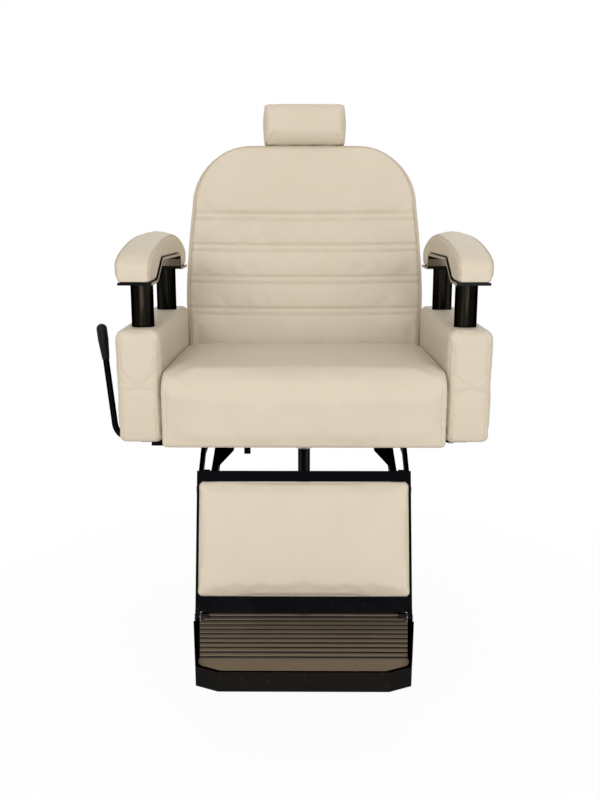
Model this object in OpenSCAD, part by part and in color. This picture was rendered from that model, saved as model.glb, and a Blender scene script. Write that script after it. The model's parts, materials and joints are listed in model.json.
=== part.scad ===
// Hairdressing chair: the chair top, from its lift ram to its headrest, without a base.
// Millimetres, +Z up, the sitter faces -Y. The origin is the lower end of the lift ram, on its axis.

/* [Lift ram] */
// Diameter of the lift ram
ram_d = 25; // [22:0.5:32]
// Diameter of the ram's turned neck inside the swivel hub
neck_d = 23; // [19:0.5:24]
// Length of the ram below its thrust collar
ram_grip = 224; // [200:1:260]
// Radial running clearance of every shaft in its bore
run_gap = 0.05; // [0.03:0.01:0.09]

/* [Seat] */
// Width of the seat cushion
seat_w = 518; // [460:2:560]
// Depth of the seat cushion, front to back
seat_l = 440; // [400:2:450]
// Height of the seat cushion's front face
seat_h = 140; // [110:2:170]
// How far the seat's top falls towards the back
seat_fall = 22; // [0:1:40]
// Crown of the seat cushion
seat_crown = 9; // [2:1:20]
// Radius along the seat cushion's edges
seat_edge = 18; // [8:1:30]
// Distance from the seat's front face back to the ram's axis
ram_setback = 232; // [220:1:250]
// Thickness of the seat board
seat_board_t = 15; // [9:1:18]

/* [Side boxes] */
// Width of one side box
box_w = 78; // [70:1:96]
// Length of a side box
box_l = 447; // [430:1:460]
// Height of a side box at its front
box_h = 208; // [180:2:240]
// How far the side box's top falls towards the back
box_fall = 12; // [0:1:24]
// How far the box's front stands behind the seat's front
box_setback = 17; // [5:1:40]
// Gap between the seat cushion and a side box
box_gap = 2; // [1:0.5:6]
// Height of the box's underside above the frame's top face
box_lift = 6; // [2:1:12]
// Radius along the box's edges
box_edge = 9; // [5:1:16]
// Foam thickness over the box's plywood core
box_foam = 18; // [12:1:22]

/* [Arm rests] */
// Diameter of an arm post
post_d = 41.6; // [30:0.2:48]
// Height of an arm post above its box
post_h = 79; // [60:1:100]
// Distance of the front post's axis from the box's front
post_front = 59; // [45:1:80]
// Distance of the rear post's axis from the box's rear
post_rear = 79; // [60:1:100]
// Width of the bent arm plate
arm_plate_w = 62; // [50:1:68]
// Thickness of the bent arm plate
arm_plate_t = 5; // [3:0.5:8]
// Rise of the arm plate between its feet
arm_rise = 36; // [20:1:44]
// How far an arm pad reaches beyond each post's axis
arm_over = 48.5; // [40:0.5:60]
// Width of an arm pad
arm_w = 69; // [65:1:80]
// Height of the arm pad's top above the box
arm_top = 164; // [150:1:185]
// How far the arm rests' rear ends turn inwards, degrees
arm_toe = 2.2; // [0:0.1:4]
// How far the arm rest's middle lies ahead of the middle between its posts
arm_ahead = 3.5; // [0:0.5:8]

/* [Backrest] */
// Lean of the backrest from upright, degrees
back_lean = 12; // [8:1:16]
// Height of the backrest above the seat, along its lean
back_h = 447; // [400:1:500]
// Widest width of the backrest cushion
back_w = 534; // [500:2:560]
// Width of the backrest between the side boxes' rear ends
back_root_w = 516; // [470:2:524]
// Width of the backrest where its shoulders begin to round
back_neck_w = 508; // [470:2:530]
// Height at which the shoulders begin to round
back_neck_s = 312; // [280:2:330]
// Radius of the backrest's shoulders
shoulder_r = 136; // [90:2:150]
// How far the backrest reaches down behind the seat
back_tail = 30; // [15:1:40]
// Thickness of the backrest cushion
back_foam = 45; // [35:1:60]
// Crown of the backrest cushion
back_crown = 8; // [2:1:16]
// Thickness of the back board
back_board_t = 12; // [9:1:15]
// Depth of the rear shell
shell_d = 33; // [30:1:45]
// Wall of the rear shell
shell_t = 4; // [3:0.5:6]
// Depth of a sewn channel seam
seam_d = 5; // [2:0.5:8]
// Distance between the two seams of a pair
seam_pair = 15; // [10:1:20]
// Height of the lowest seam pair above the seat
seam_low = 75; // [60:1:90]
// Distance from one seam pair to the next
seam_step = 71; // [60:1:76]

/* [Headrest] */
// Width of the headrest
head_w = 183; // [150:1:220]
// Height of the headrest
head_h = 94; // [80:1:120]
// Depth of the headrest pad
head_d = 58; // [45:1:70]
// Distance that the headrest can be raised
head_travel = 100; // [60:5:120]
// Width of the headrest's flat stem
stem_w = 50; // [35:1:60]
// Thickness of the headrest's flat stem
stem_t = 8; // [6:0.5:9]

/* [Leg rest] */
// Tilt of the leg rest from upright, degrees
leg_tilt = 18.4; // [12:0.2:24]
// Width of the leg rest frame
leg_w = 396; // [360:2:400]
// Length of the leg rest frame
leg_l = 257; // [230:1:280]
// Height of the leg rest's top bar
leg_bar = 20; // [16:1:26]
// Height of the leg rest's bottom bar
leg_bar_low = 28; // [20:1:34]
// Thickness of the leg rest's side rails
rail_t = 8; // [5:0.5:10]
// Thickness of the leg pad in front of its frame
leg_pad_t = 17; // [10:1:24]
// Distance of the leg rest's hinge behind the seat's front face
leg_hinge_back = 38.5; // [34:0.5:44]

/* [Footplate] */
// Width of the footplate at its front
foot_w_front = 356; // [310:2:370]
// Width of the footplate at its ears
foot_w_rear = 400; // [380:2:410]
// Reach of the footplate in front of its hinge
foot_reach = 203; // [180:1:230]
// Height of the footplate's rim
foot_h = 32; // [24:1:40]
// Number of ribs on the footplate
rib_count = 11; // [6:1:12]
// Distance from one rib to the next
rib_step = 17; // [14:0.2:18]
// Height of a rib
rib_h = 3; // [1:0.5:3]

/* [Recline] */
// Reach of each crank back from its pivot
crank_back = 12; // [8:1:16]
// Reach of each crank down from its pivot
crank_down = 30; // [26:1:34]
// Diameter of the recline shaft
shaft_d = 16; // [12:1:18]
// Diameter of the link pins
pin_d = 10; // [8:1:12]

/* [Lever] */
// Diameter of the lever's rod
lever_d = 12; // [9:0.5:13]
// Distance of the lever forward of the ram's axis
lever_ahead = 120; // [118:1:130]
// Length of the lever's grip
grip_l = 68; // [50:1:90]
// Larger diameter of the lever's grip
grip_d = 20; // [16:0.5:24]

/* [Hidden] */
$fn = 48;

// Colours, as they show
cream = "#dbceba";
black_metal = "#1b1a1a";
steel = "#8d9094";
plywood = "#c39a6b";
plastic = "#242322";
bronze = "#a87b45";

// Small shared sizes
cut = 1;
seat_clear = 0.3;
weld = 2;

// Frame bars
bar_h = 25;
bar_w = 30;
rail_in = 140;
rail_w = 25;

// Ram, collar and hub, from the ram's shoulder up
washer_t = 2;
collar_h = 10;
collar_w = 6.5;
hub_wall = 9.5;
hub_l = 50;
cap_t = 4;
hub_cap = 1;
hub_z = ram_grip + collar_h + washer_t;
frame_z = hub_z + hub_l;
frame_low = frame_z - bar_h;
collar_r = ram_d / 2 + collar_w;
hub_r = ram_d / 2 + hub_wall;

// Side boxes, worked out from the seat
box_in = seat_w / 2 + box_gap;
box_out = box_in + box_w;
box_y = box_setback - ram_setback;
box_z = frame_z + box_lift;
box_top = box_z + box_h;
box_draw = 1.2;
box_crown = 1;

// Seat
seat_y = -ram_setback;
seat_top = frame_z + seat_h;
seat_rear_top = seat_top - seat_fall;
board_inset = 26;

// Arm rests
post_in = 2;
post_x = box_in + box_w / 2 - post_in;
post_front_y = box_y + post_front;
post_rear_y = box_y + box_l - post_rear;
post_span = post_rear_y - post_front_y;
plate_in = 3;
plate_x = post_x - plate_in;
foot_z = box_top + post_h;
arm_mid_y = (post_front_y + post_rear_y) / 2 - arm_ahead;
arm_crown = 7;

// Backrest plane: its foot is where the seat's top meets it
back_gap = 10;
back_y = seat_y + seat_l + back_gap;
back_z = seat_rear_top;
board_n = back_foam;
shell_n = back_foam + back_board_t;

// Recline pivot and leg rest pivot, and the cranks that the links join
recline_back = 15;
recline_up = 17;
recline_y = back_y + recline_back;
recline_z = frame_low + recline_up;
arm_h = 22;
leg_y = seat_y + leg_hinge_back;
arm_fall_h = 30;
leg_z = frame_low - arm_h / 2 - arm_fall_h;
front_bar_back = 132;
rear_bar_ahead = 113;
rail_ahead = 28;
front_bar_y = seat_y + front_bar_back;
rear_bar_y = recline_y - rear_bar_ahead;
rail_end = recline_y - rail_ahead;
leg_front = 27;
leg_over = 10;
crank_x = 177;
crank_t = 10;
link_x = 194;
link_t = 8;
link_h = 20;
link_knee = 100;
link_sag = 4;

// Leg arms
arm_x = 162;
arm_t = 12;
gusset_in = 137;
gusset_t = 6;

// Footplate hinge, in the leg rest's own plane
foot_below = 10;
foot_drop = leg_l + foot_below - leg_over;
foot_ahead = 20.6;
foot_y = leg_y - foot_drop * sin(leg_tilt) - foot_ahead * cos(leg_tilt);
foot_hinge_z = leg_z - foot_drop * cos(leg_tilt) + foot_ahead * sin(leg_tilt);
ear_r = 11;
deck_low = 2.7;
deck_t = 5;
knuckle_r = 9;
foot_pin_d = 10;
foot_behind = 34;
rib_foot = 8;
rib_crest = 4;

// Lever
lever_lean = 5.3;
lever_bend = 32;
lever_up = 13;
lever_in = 5;
lever_z = frame_low + lever_up;
lever_turn_x = box_out - lever_in;
lever_l = 128;
lever_inner_x = 104;
release_l = 26;
release_r = 5;

// Lock
lock_x = 110;
lock_rear_ahead = 103;
lock_z = recline_z - crank_down;
lock_r = 11;
lock_rod_r = 5;
lock_front_y = -40;
lock_rear_y = recline_y - lock_rear_ahead;
valve_r = 3;
eye_r = 12;
eye_t = 14;

// Headrest
socket_wall = 3;
stem_n = shell_n + socket_wall + stem_t / 2;
head_pivot_up = 8;
head_gap = 2;
head_pivot_s = back_h + head_pivot_up;
head_s = back_h + head_gap;
head_front = 8;
socket_l = 150;

// Quality of the padded forms: steps around a corner and along an edge
corner_steps = 3;
top_steps = 8;

// Points of an arc in a plane, from angle a to angle b
function arc(c, r, a, b, k) = [for (i = [0 : k]) let (t = a + (b - a) * i / k) c + r * [cos(t), sin(t)]];

// One closed slice of a pad: half-width, low and high faces, edge radius, crown and drawn-in sides
function slice(hw, lo, hi, r, crown, draw) = let (
    q = min(r, (hi - lo) / 2.01, hw / 2),
    flat = hw - q)
    concat(
        arc([flat, lo + q], q, -90, 0, corner_steps),
        [[hw - draw, (lo + hi) / 2]],
        arc([flat, hi - q], q, 0, 90, corner_steps),
        [for (i = [1 : top_steps - 1]) let (t = 1 - 2 * i / top_steps) [flat * t, hi + crown * (1 - t * t)]],
        arc([-flat, hi - q], q, 90, 180, corner_steps),
        [[draw - hw, (lo + hi) / 2]],
        arc([-flat, lo + q], q, 180, 270, corner_steps));

function middle(loop) = let (n = len(loop))
    [for (k = [0 : 2]) [for (p = loop) p[k]] * [for (p = loop) 1 / n]];

// A closed body through slices of equal length, with a fan at each end
module loft(loops) {
    n = len(loops[0]);
    m = len(loops);
    points = concat([for (loop = loops) each loop], [middle(loops[0]), middle(loops[m - 1])]);
    faces = concat(
        [for (i = [0 : m - 2], j = [0 : n - 1]) [i * n + j, i * n + (j + 1) % n, (i + 1) * n + j]],
        [for (i = [0 : m - 2], j = [0 : n - 1])
            [i * n + (j + 1) % n, (i + 1) * n + (j + 1) % n, (i + 1) * n + j]],
        [for (j = [0 : n - 1]) [(j + 1) % n, j, n * m]],
        [for (j = [0 : n - 1]) [(m - 1) * n + j, (m - 1) * n + (j + 1) % n, n * m + 1]]);
    polyhedron(points, faces, convexity = 6);
}

// Stations along a pad of length l whose two ends round off with radius r, as [place, inset]
edge_turns = [0, 25, 50, 70, 90];
function stations(l, r, mids) = concat(
    [for (a = edge_turns) [r * (1 - cos(a)), r * (1 - sin(a))]],
    [for (i = [1 : mids]) [r + (l - 2 * r) * i / (mids + 1), 0]],
    [for (i = [0 : len(edge_turns) - 1]) let (a = edge_turns[len(edge_turns) - 1 - i])
        [l - r * (1 - cos(a)), r * (1 - sin(a))]]);

// Swell of a pad along its length, 0 at its ends and 1 in the middle
function swell(t) = sqrt(max(0, sin(180 * t)));

module mirrored(side) { if (side < 0) mirror([1, 0, 0]) children(); else children(); }
module plate_yz(x, t) { translate([x, 0, 0]) rotate([90, 0, 90]) linear_extrude(t) children(); }
module rod_x(x, y, z, l, r) { translate([x, y, z]) rotate([0, 90, 0]) cylinder(h = l, r = r); }
module rod_y(x, y, z, l, r) { translate([x, y, z]) rotate([-90, 0, 0]) cylinder(h = l, r = r); }
module block(x, y, z, w, d, h) { translate([x, y, z]) cube([w, d, h]); }

// A flat bar from a to b in a plane, and one with round eyes at its points, a little wider than the bar
strap_step = 0.5;
module bar(a, b, r) {
    d = b - a;
    translate(a) rotate(atan2(d[1], d[0])) translate([0, -r]) square([norm(d), 2 * r]);
}
module strap(points, r) {
    for (p = points) translate(p) circle(r);
    for (i = [1 : len(points) - 1]) bar(points[i - 1], points[i], r - strap_step);
}

module on_back() { translate([0, back_y, back_z]) rotate([-back_lean, 0, 0]) children(); }
module on_leg() { translate([0, leg_y, leg_z]) rotate([-leg_tilt, 0, 0]) children(); }
module on_foot() { translate([0, foot_y, foot_hinge_z]) children(); }

// Lift ram and swivel
module lift_ram() {
    color(steel) {
        cylinder(h = ram_grip, r = ram_d / 2, $fn = 96);
        cylinder(h = frame_z - hub_cap - cap_t - cut, r = neck_d / 2, $fn = 96);
    }
}

module ram_ring(z, h, r) {
    translate([0, 0, z]) difference() {
        cylinder(h = h, r = r, $fn = 96);
        translate([0, 0, -cut]) cylinder(h = h + 2 * cut, r = neck_d / 2 + run_gap, $fn = 96);
    }
}

module thrust_collar() { color(steel) ram_ring(hub_z - washer_t - collar_h, collar_h, collar_r); }
module thrust_washer() { color(bronze) ram_ring(hub_z - washer_t, washer_t, collar_r); }

module swivel_hub() {
    color(black_metal) difference() {
        translate([0, 0, hub_z]) cylinder(h = frame_z - hub_cap - hub_z, r = hub_r, $fn = 96);
        translate([0, 0, hub_z - cut])
            cylinder(h = frame_z - hub_cap - cap_t - hub_z + cut, r = neck_d / 2 + run_gap, $fn = 96);
    }
}

// Mount plate and its bolts
plate_w = 160;
plate_t = 8;
plate_end = rear_bar_y + bar_w;
bolt_r = 7;
bolt_h = 5;

module mount_plate() {
    color(black_metal) difference() {
        block(-plate_w / 2, front_bar_y, frame_low - plate_t, plate_w, plate_end - front_bar_y, plate_t);
        translate([0, 0, frame_low - plate_t - cut]) cylinder(h = plate_t + 2 * cut, r = hub_r, $fn = 96);
    }
}

module bolt_heads(places, z) {
    for (p = places) translate([p[0], p[1], z - bolt_h]) cylinder(h = bolt_h, r = bolt_r, $fn = 6);
}

plate_bolt_in = 18;
plate_bolt_x = plate_w / 2 - plate_bolt_in;
module plate_bolts() {
    color(steel) bolt_heads([for (x = [-plate_bolt_x, plate_bolt_x],
        y = [front_bar_y + bar_w / 2, rear_bar_y + bar_w / 2]) [x, y]], frame_low - plate_t);
}

// Seat frame: two cross bars that reach under the boxes, two rails, and the boxes' pads
foot_pad_l = 60;
cross_in = 19;
cross_w = 2 * (box_out - cross_in);
module seat_frame() {
    color(black_metal) {
        for (y = [front_bar_y, rear_bar_y]) {
            block(-cross_w / 2, y, frame_low, cross_w, bar_w, bar_h);
            for (s = [-1, 1]) mirrored(s)
                block(cross_w / 2 - foot_pad_l + weld, y, frame_low, foot_pad_l - weld, bar_w,
                    bar_h + box_lift);
        }
        for (s = [-1, 1]) mirrored(s)
            block(rail_in, front_bar_y + bar_w - weld, frame_low, rail_w,
                rail_end - front_bar_y - bar_w + weld, bar_h);
    }
}

module seat_board() {
    color(plywood) block(-seat_w / 2 + board_inset, seat_y + board_inset, frame_z,
        seat_w - 2 * board_inset, seat_l - 2 * board_inset, seat_board_t);
}

seat_bolt_in = 34;
seat_bolt_x = seat_w / 2 - seat_bolt_in;
module seat_bolts() {
    color(steel) {
        bolt_heads([for (s = [-1, 1], y = [front_bar_y + bar_w / 2, rear_bar_y + bar_w / 2])
            [s * seat_bolt_x, y]], frame_low);
        bolt_heads([for (s = [-1, 1], y = [front_bar_y + bar_w / 2, rear_bar_y + bar_w / 2])
            [s * (cross_w / 2 - foot_pad_l / 2), y]], frame_low);
    }
}

seat_draw = 2;
seat_mids = 9;
module seat_cushion() {
    color(cream) difference() {
        loft([for (st = stations(seat_l, seat_edge, seat_mids)) let (
            t = st[0] / seat_l,
            hi = seat_top - seat_fall * t - st[1],
            loop = slice(seat_w / 2 - st[1], frame_z + st[1] / 2, hi, seat_edge - st[1] / 2,
                seat_crown * swell(t), seat_draw))
            [for (p = loop) [p[0], seat_y + st[0], p[1]]]]);
        block(-seat_w / 2 + board_inset, seat_y + board_inset, frame_z - cut,
            seat_w - 2 * board_inset, seat_l - 2 * board_inset, seat_board_t + cut);
    }
}

// Side boxes: a plywood core under a padded cover
core_w = box_w - 2 * box_foam;
core_l = box_l - 2 * box_foam;
core_h = box_h - box_fall - box_foam;
box_mids = 3;
function box_top_at(y) = box_top - box_fall * (y - box_y) / box_l;

module side_core(side) {
    color(plywood) mirrored(side) difference() {
        block(box_in + box_foam, box_y + box_foam, box_z, core_w, core_l, core_h);
        for (y = [post_front_y, post_rear_y]) stud_hole(y, core_h);
    }
}

stud_r = 5;
module stud_hole(y, depth) {
    translate([post_x, y, box_z - cut]) cylinder(h = depth + 2 * cut, r = stud_r);
}

module side_pad(side) {
    color(cream) mirrored(side) difference() {
        loft([for (st = stations(box_l, box_edge, box_mids)) let (
            t = st[0] / box_l,
            loop = slice(box_w / 2 - st[1], box_z + st[1], box_top - box_fall * t - st[1],
                box_edge - st[1] / 2, box_crown * swell(t), box_draw * swell(t)))
            [for (p = loop) [box_in + box_w / 2 + p[0], box_y + st[0], p[1]]]]);
        block(box_in + box_foam, box_y + box_foam, box_z - cut, core_w, core_l, core_h + cut);
        for (y = [post_front_y, post_rear_y]) translate([post_x, y, box_z + core_h - cut])
            cylinder(h = box_h, r = stud_r);
        for (y = [post_front_y, post_rear_y]) translate([post_x, y, post_sink(y)])
            cylinder(h = box_foam, r = post_d / 2);
    }
}

module side_core_left() { side_core(1); }
module side_core_right() { side_core(-1); }
module side_pad_left() { side_pad(1); }
module side_pad_right() { side_pad(-1); }

// Arm posts: a tube over a stud that reaches down into the box's core
function post_sink(y) = box_top_at(y + post_d / 2) - seat_clear;
module arm_post(side, y) {
    color(black_metal) mirrored(side) {
        translate([post_x, y, post_sink(y)]) cylinder(h = foot_z - post_sink(y), r = post_d / 2, $fn = 96);
        translate([post_x, y, box_z + box_foam]) cylinder(h = box_h - box_foam, r = stud_r);
    }
}

module arm_post_front_left() { arm_post(1, post_front_y); }
module arm_post_front_right() { arm_post(-1, post_front_y); }
module arm_post_rear_left() { arm_post(1, post_rear_y); }
module arm_post_rear_right() { arm_post(-1, post_rear_y); }

// The arm rests turn in a little about their middle
module on_arm() {
    translate([post_x, arm_mid_y, 0]) rotate([0, 0, arm_toe]) translate([-post_x, -arm_mid_y, 0]) children();
}

// Points of a bend at p between a and b that starts a distance c away
function bend(a, p, b, c, k) = let (u = p + c * (a - p) / norm(a - p), v = p + c * (b - p) / norm(b - p))
    [for (i = [0 : k]) let (t = i / k) u * (1 - t) * (1 - t) + p * 2 * t * (1 - t) + v * t * t];

// A line of points moved sideways, to the left of its direction
function side_of(a, b) = [a[1] - b[1], b[0] - a[0]] / norm(b - a);
function lifted(points, t) = let (m = len(points) - 1) [for (i = [0 : m]) let (
    before = side_of(points[max(i - 1, 0)], points[max(i, 1)]),
    after = side_of(points[min(i, m - 1)], points[min(i + 1, m)]))
    points[i] + t * (before + after) / (1 + before * after)];

// Underside of the bent plate from front to rear, as [y, z]: shares of the post span
leg_front_shares = [0.035, 0.225];
leg_rear_shares = [0.882, 0.862];
arm_fall = 6;
bend_c = 8;
bend_steps = 2;
plate_nose = 50;
plate_over = 38;
plate_corners = let (y = post_front_y, l = post_span, top = foot_z + arm_rise) [
    [y - plate_nose, foot_z], [y + l * leg_front_shares[0], foot_z], [y + l * leg_front_shares[1], top],
    [y + l * leg_rear_shares[1], top - arm_fall], [y + l * leg_rear_shares[0], foot_z],
    [post_rear_y + plate_over, foot_z]];
plate_line = concat([plate_corners[0]],
    [for (i = [1 : 4])
        each bend(plate_corners[i - 1], plate_corners[i], plate_corners[i + 1], bend_c, bend_steps)],
    [plate_corners[5]]);

module arm_plate(side) {
    upper = lifted(plate_line, arm_plate_t);
    color(black_metal) mirrored(side) on_arm() plate_yz(plate_x - arm_plate_w / 2, arm_plate_w)
        polygon(concat(plate_line, [for (i = [1 : len(upper)]) upper[len(upper) - i]]));
}
module arm_plate_left() { arm_plate(1); }
module arm_plate_right() { arm_plate(-1); }

// Arm pad: its underside follows the plate, its top rounds down to both ends
arm_half = post_span / 2 + arm_over;
arm_end_r = 9;
arm_edge = 12;
arm_pad_x = plate_x + (arm_w - arm_plate_w) / 2;
arm_top_shares = [[-1, 0.42], [-0.97, 0.54], [-0.83, 0.69], [-0.57, 0.84], [-0.34, 0.93], [-0.03, 0.995],
    [0.15, 1], [0.29, 0.985], [0.55, 0.865], [0.83, 0.65], [0.94, 0.48], [1, 0.3]];
arm_body = arm_top - arm_crown - post_h - arm_plate_t;
arm_end_turns = [0, 30, 60, 90];
module arm_pad(side) {
    under = lifted(plate_line, arm_plate_t + seat_clear);
    ends = [for (a = arm_end_turns) arm_half - arm_end_r * (1 - cos(a))];
    inner = [for (p = under) if (abs(p[0] - arm_mid_y) < arm_half - arm_end_r - cut) p[0] - arm_mid_y];
    tops = [for (q = arm_top_shares) if (abs(q[0]) < 0.9) q[0] * arm_half];
    color(cream) mirrored(side) on_arm()
        loft([for (d = sorted(concat(ends, [for (e = ends) -e], inner, tops))) let (
            into = max(0, abs(d) - arm_half + arm_end_r) / arm_end_r,
            inset = arm_end_r * (1 - sqrt(1 - into * into)),
            lo = lookup(arm_mid_y + d, under) + inset * 0.2,
            hi = foot_z + arm_plate_t + arm_body * lookup(d / arm_half, arm_top_shares) - inset,
            crown = arm_crown * (1 - pow(d / arm_half, 4)),
            loop = slice(arm_w / 2 - inset * 0.7, lo, hi, arm_edge, crown, 0))
            [for (p = loop) [arm_pad_x + p[0], arm_mid_y + d, p[1]]]]);
}
module arm_pad_left() { arm_pad(1); }
module arm_pad_right() { arm_pad(-1); }

screw_spread = 40;
screw_sink = 0.5;
module arm_screws() {
    color(steel) for (s = [-1, 1], d = [-screw_spread, screw_spread]) let (y = arm_mid_y + d + bolt_r)
        mirrored(s) on_arm()
        translate([plate_x, arm_mid_y + d, lookup(y, plate_line) - bolt_h - screw_sink])
            cylinder(h = bolt_h, r = bolt_r);
}

// Leg arms: fixed bars with a flat gusset, under the front cross bar
module leg_arm(side) {
    run = front_bar_y + bar_w - arm_h / 2 - leg_y;
    length = norm([run, arm_fall_h]);
    color(black_metal) mirrored(side) difference() {
        union() {
            plate_yz(arm_x, arm_t)
                strap([[leg_y, leg_z], [leg_y + run, leg_z + arm_fall_h]], arm_h / 2);
            rod_x(arm_x + arm_t - weld, leg_y, leg_z, crank_x - arm_x - arm_t + weld - cut / 2, arm_h / 2);
            translate([0, leg_y, leg_z]) rotate([atan2(arm_fall_h, run), 0, 0])
                translate([0, 0, arm_h / 2 - gusset_t]) linear_extrude(gusset_t) polygon([
                    [arm_x + weld, arm_h], [gusset_in, length - bar_w], [gusset_in, length],
                    [arm_x + weld, length]]);
        }
        rod_x(arm_x - cut, leg_y, leg_z, crank_x - arm_x + cut, pin_d / 2);
    }
}
module leg_arm_left() { leg_arm(1); }
module leg_arm_right() { leg_arm(-1); }

module leg_pin(side) {
    color(steel) mirrored(side)
        rod_x(arm_x - weld, leg_y, leg_z, crank_x + crank_t - arm_x + weld, pin_d / 2);
}
module leg_pin_left() { leg_pin(1); }
module leg_pin_right() { leg_pin(-1); }

// Brackets that carry the recline shaft, outside the frame's rails
bracket_t = 10;
module shaft_bracket(side) {
    r = recline_z - frame_low;
    color(black_metal) mirrored(side) difference() {
        plate_yz(rail_in + rail_w, bracket_t) {
            translate([rear_bar_y + bar_w, frame_low]) square([recline_y - rear_bar_y - bar_w, bar_h]);
            translate([recline_y, recline_z]) circle(r);
        }
        rod_x(rail_in + rail_w - cut, recline_y, recline_z, bracket_t + 2 * cut, shaft_d / 2 + run_gap);
    }
}
module shaft_bracket_left() { shaft_bracket(1); }
module shaft_bracket_right() { shaft_bracket(-1); }

module recline_shaft() {
    color(steel) rod_x(-crank_x - crank_t, recline_y, recline_z, 2 * (crank_x + crank_t), shaft_d / 2);
}

// Where a crank's outer joint lies, from its pivot
crank = [crank_back, -crank_down];
crank_end_r = 11;
crank_hub_r = 16;
upright_s = 260;
upright_d = 28;
function from_back(n, s) = [back_y + n * cos(back_lean) + s * sin(back_lean),
    back_z - n * sin(back_lean) + s * cos(back_lean)];

// Back frame: two uprights with cranks, cross bars that the board screws to, and the lock's crank
module back_frame() {
    pivot = [recline_y, recline_z];
    mid_n = shell_n + upright_d / 2;
    color(black_metal) {
        for (s = [-1, 1]) mirrored(s) difference() {
            plate_yz(crank_x, crank_t) {
                strap([pivot + crank, pivot], crank_end_r);
                translate(pivot) circle(crank_hub_r);
                bar(pivot, from_back(mid_n, -back_tail - upright_d), upright_d / 2 - weld);
                strap([from_back(mid_n, -back_tail - upright_d), from_back(mid_n, upright_s)],
                    upright_d / 2);
            }
            rod_x(crank_x - cut, recline_y, recline_z, crank_t + 2 * cut, shaft_d / 2);
            rod_x(crank_x - cut, recline_y + crank_back, recline_z - crank_down, crank_t + 2 * cut,
                pin_d / 2);
        }
        for (s = [0, upright_s - upright_d]) on_back()
            block(-crank_x - weld, shell_n, s - upright_d / 2, 2 * (crank_x + weld), upright_d / 2,
                upright_d);
    }
}

// Crank on the shaft that the lock's rod holds
module lock_crank() {
    pivot = [recline_y, recline_z];
    color(black_metal) difference() {
        plate_yz(-lock_x + eye_t / 2 - cut / 2, crank_t) {
            strap([pivot, pivot + crank], crank_end_r);
            translate(pivot) circle(crank_hub_r);
        }
        rod_x(-lock_x, recline_y, recline_z, 2 * crank_t + eye_t, shaft_d / 2);
        rod_x(-lock_x, recline_y + crank_back, recline_z - crank_down, 2 * crank_t + eye_t, pin_d / 2);
    }
}

function smooth(t) = let (u = max(0, min(1, t))) u * u * (3 - 2 * u);

// Half-width of the backrest at a height along its lean
back_swell_s = 110;
function back_half(s) =
    s < back_swell_s
        ? (back_root_w + (back_w - back_root_w) * smooth((s + back_tail) / (back_swell_s + back_tail))) / 2
    : s < back_neck_s
        ? (back_w + (back_neck_w - back_w) * pow((s - back_swell_s) / (back_neck_s - back_swell_s), 1.6)) / 2
    : back_neck_w / 2 - shoulder_r
        + shoulder_r * sqrt(max(0, 1 - pow((s - back_neck_s) / (back_h - back_neck_s), 2)));

// Heights of the sewn seams, and the dip that one makes
seams = [for (k = [0 : 3], j = [0, 1]) seam_low + k * seam_step + (j - 0.5) * seam_pair];
seam_half = 4;
function dip(s) = max([for (q = seams) max(0, 1 - abs(s - q) / seam_half)]);

shoulder_turns = [8, 22, 36, 50, 63, 75, 85, 90];
tail_turn = 16;
tail_shares = [0, 0.12, 0.38];
function back_stations() = concat(
    [for (q = tail_shares) -back_tail + q * (back_tail + seam_low / 6)],
    [seam_low / 6, seam_low / 2],
    [for (q = seams) each [q - seam_half, q, q + seam_half]],
    [for (k = [0 : 2]) seam_low + (k + 0.5) * seam_step],
    [(back_neck_s + seams[7]) / 2],
    [for (a = shoulder_turns) back_neck_s + (back_h - back_neck_s) * sin(a)]);

function sorted(v) = len(v) < 2 ? v : let (
    p = v[floor(len(v) / 2)],
    low = [for (x = v) if (x < p) x],
    same = [for (x = v) if (x == p) x],
    high = [for (x = v) if (x > p) x])
    concat(sorted(low), same, sorted(high));

// Outline of the back as [half-width, height] pairs, for the board and the shell
outline_steps = 12;
function back_outline(inset) = let (
    right = concat(
        [[back_half(-back_tail) - inset, -back_tail + inset], [back_half(0) - inset, 0],
            [back_half(back_swell_s) - inset, back_swell_s],
            [back_half(back_neck_s * 0.8) - inset, back_neck_s * 0.8]],
        [for (i = [0 : outline_steps]) let (a = 90 * i / outline_steps)
            [back_neck_w / 2 - shoulder_r + (shoulder_r - inset) * cos(a),
                back_neck_s + (back_h - back_neck_s - inset) * sin(a)]]))
    concat(right, [for (i = [1 : len(right)]) let (p = right[len(right) - i]) [-p[0], p[1]]]);

module back_slab(inset, n, t) {
    on_back() translate([0, n + t, 0]) rotate([90, 0, 0]) linear_extrude(t) polygon(back_outline(inset));
}

back_edge = 16;
back_draw = 1;
board_inset_back = 8;
end_turns = 26;
module back_cushion() {
    list = sorted(back_stations());
    color(cream) on_back() loft([for (s = list) let (
        up = max(0, s - back_h + end_turns) / end_turns,
        down = max(0, -back_tail + tail_turn - s) / tail_turn,
        pull = back_edge * (1 - sqrt(1 - min(1, pow(max(up, down), 2)) * 0.96)),
        hw = back_half(s),
        t = (s + back_tail) / (back_h + back_tail),
        loop = slice(hw, -back_foam, -pull, back_edge,
            back_crown * swell(min(1, t * 1.1)) - dip(s) * seam_d, back_draw),
        dent = dip(s) * seam_d)
        [for (p = loop) let (edge = p[1] > -back_foam / 2 ? 1 : 0)
            [p[0], -p[1] + edge * dent * 0.4, s]]]);
}

module back_board() { color(plywood) back_slab(board_inset_back, board_n, back_board_t); }

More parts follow.
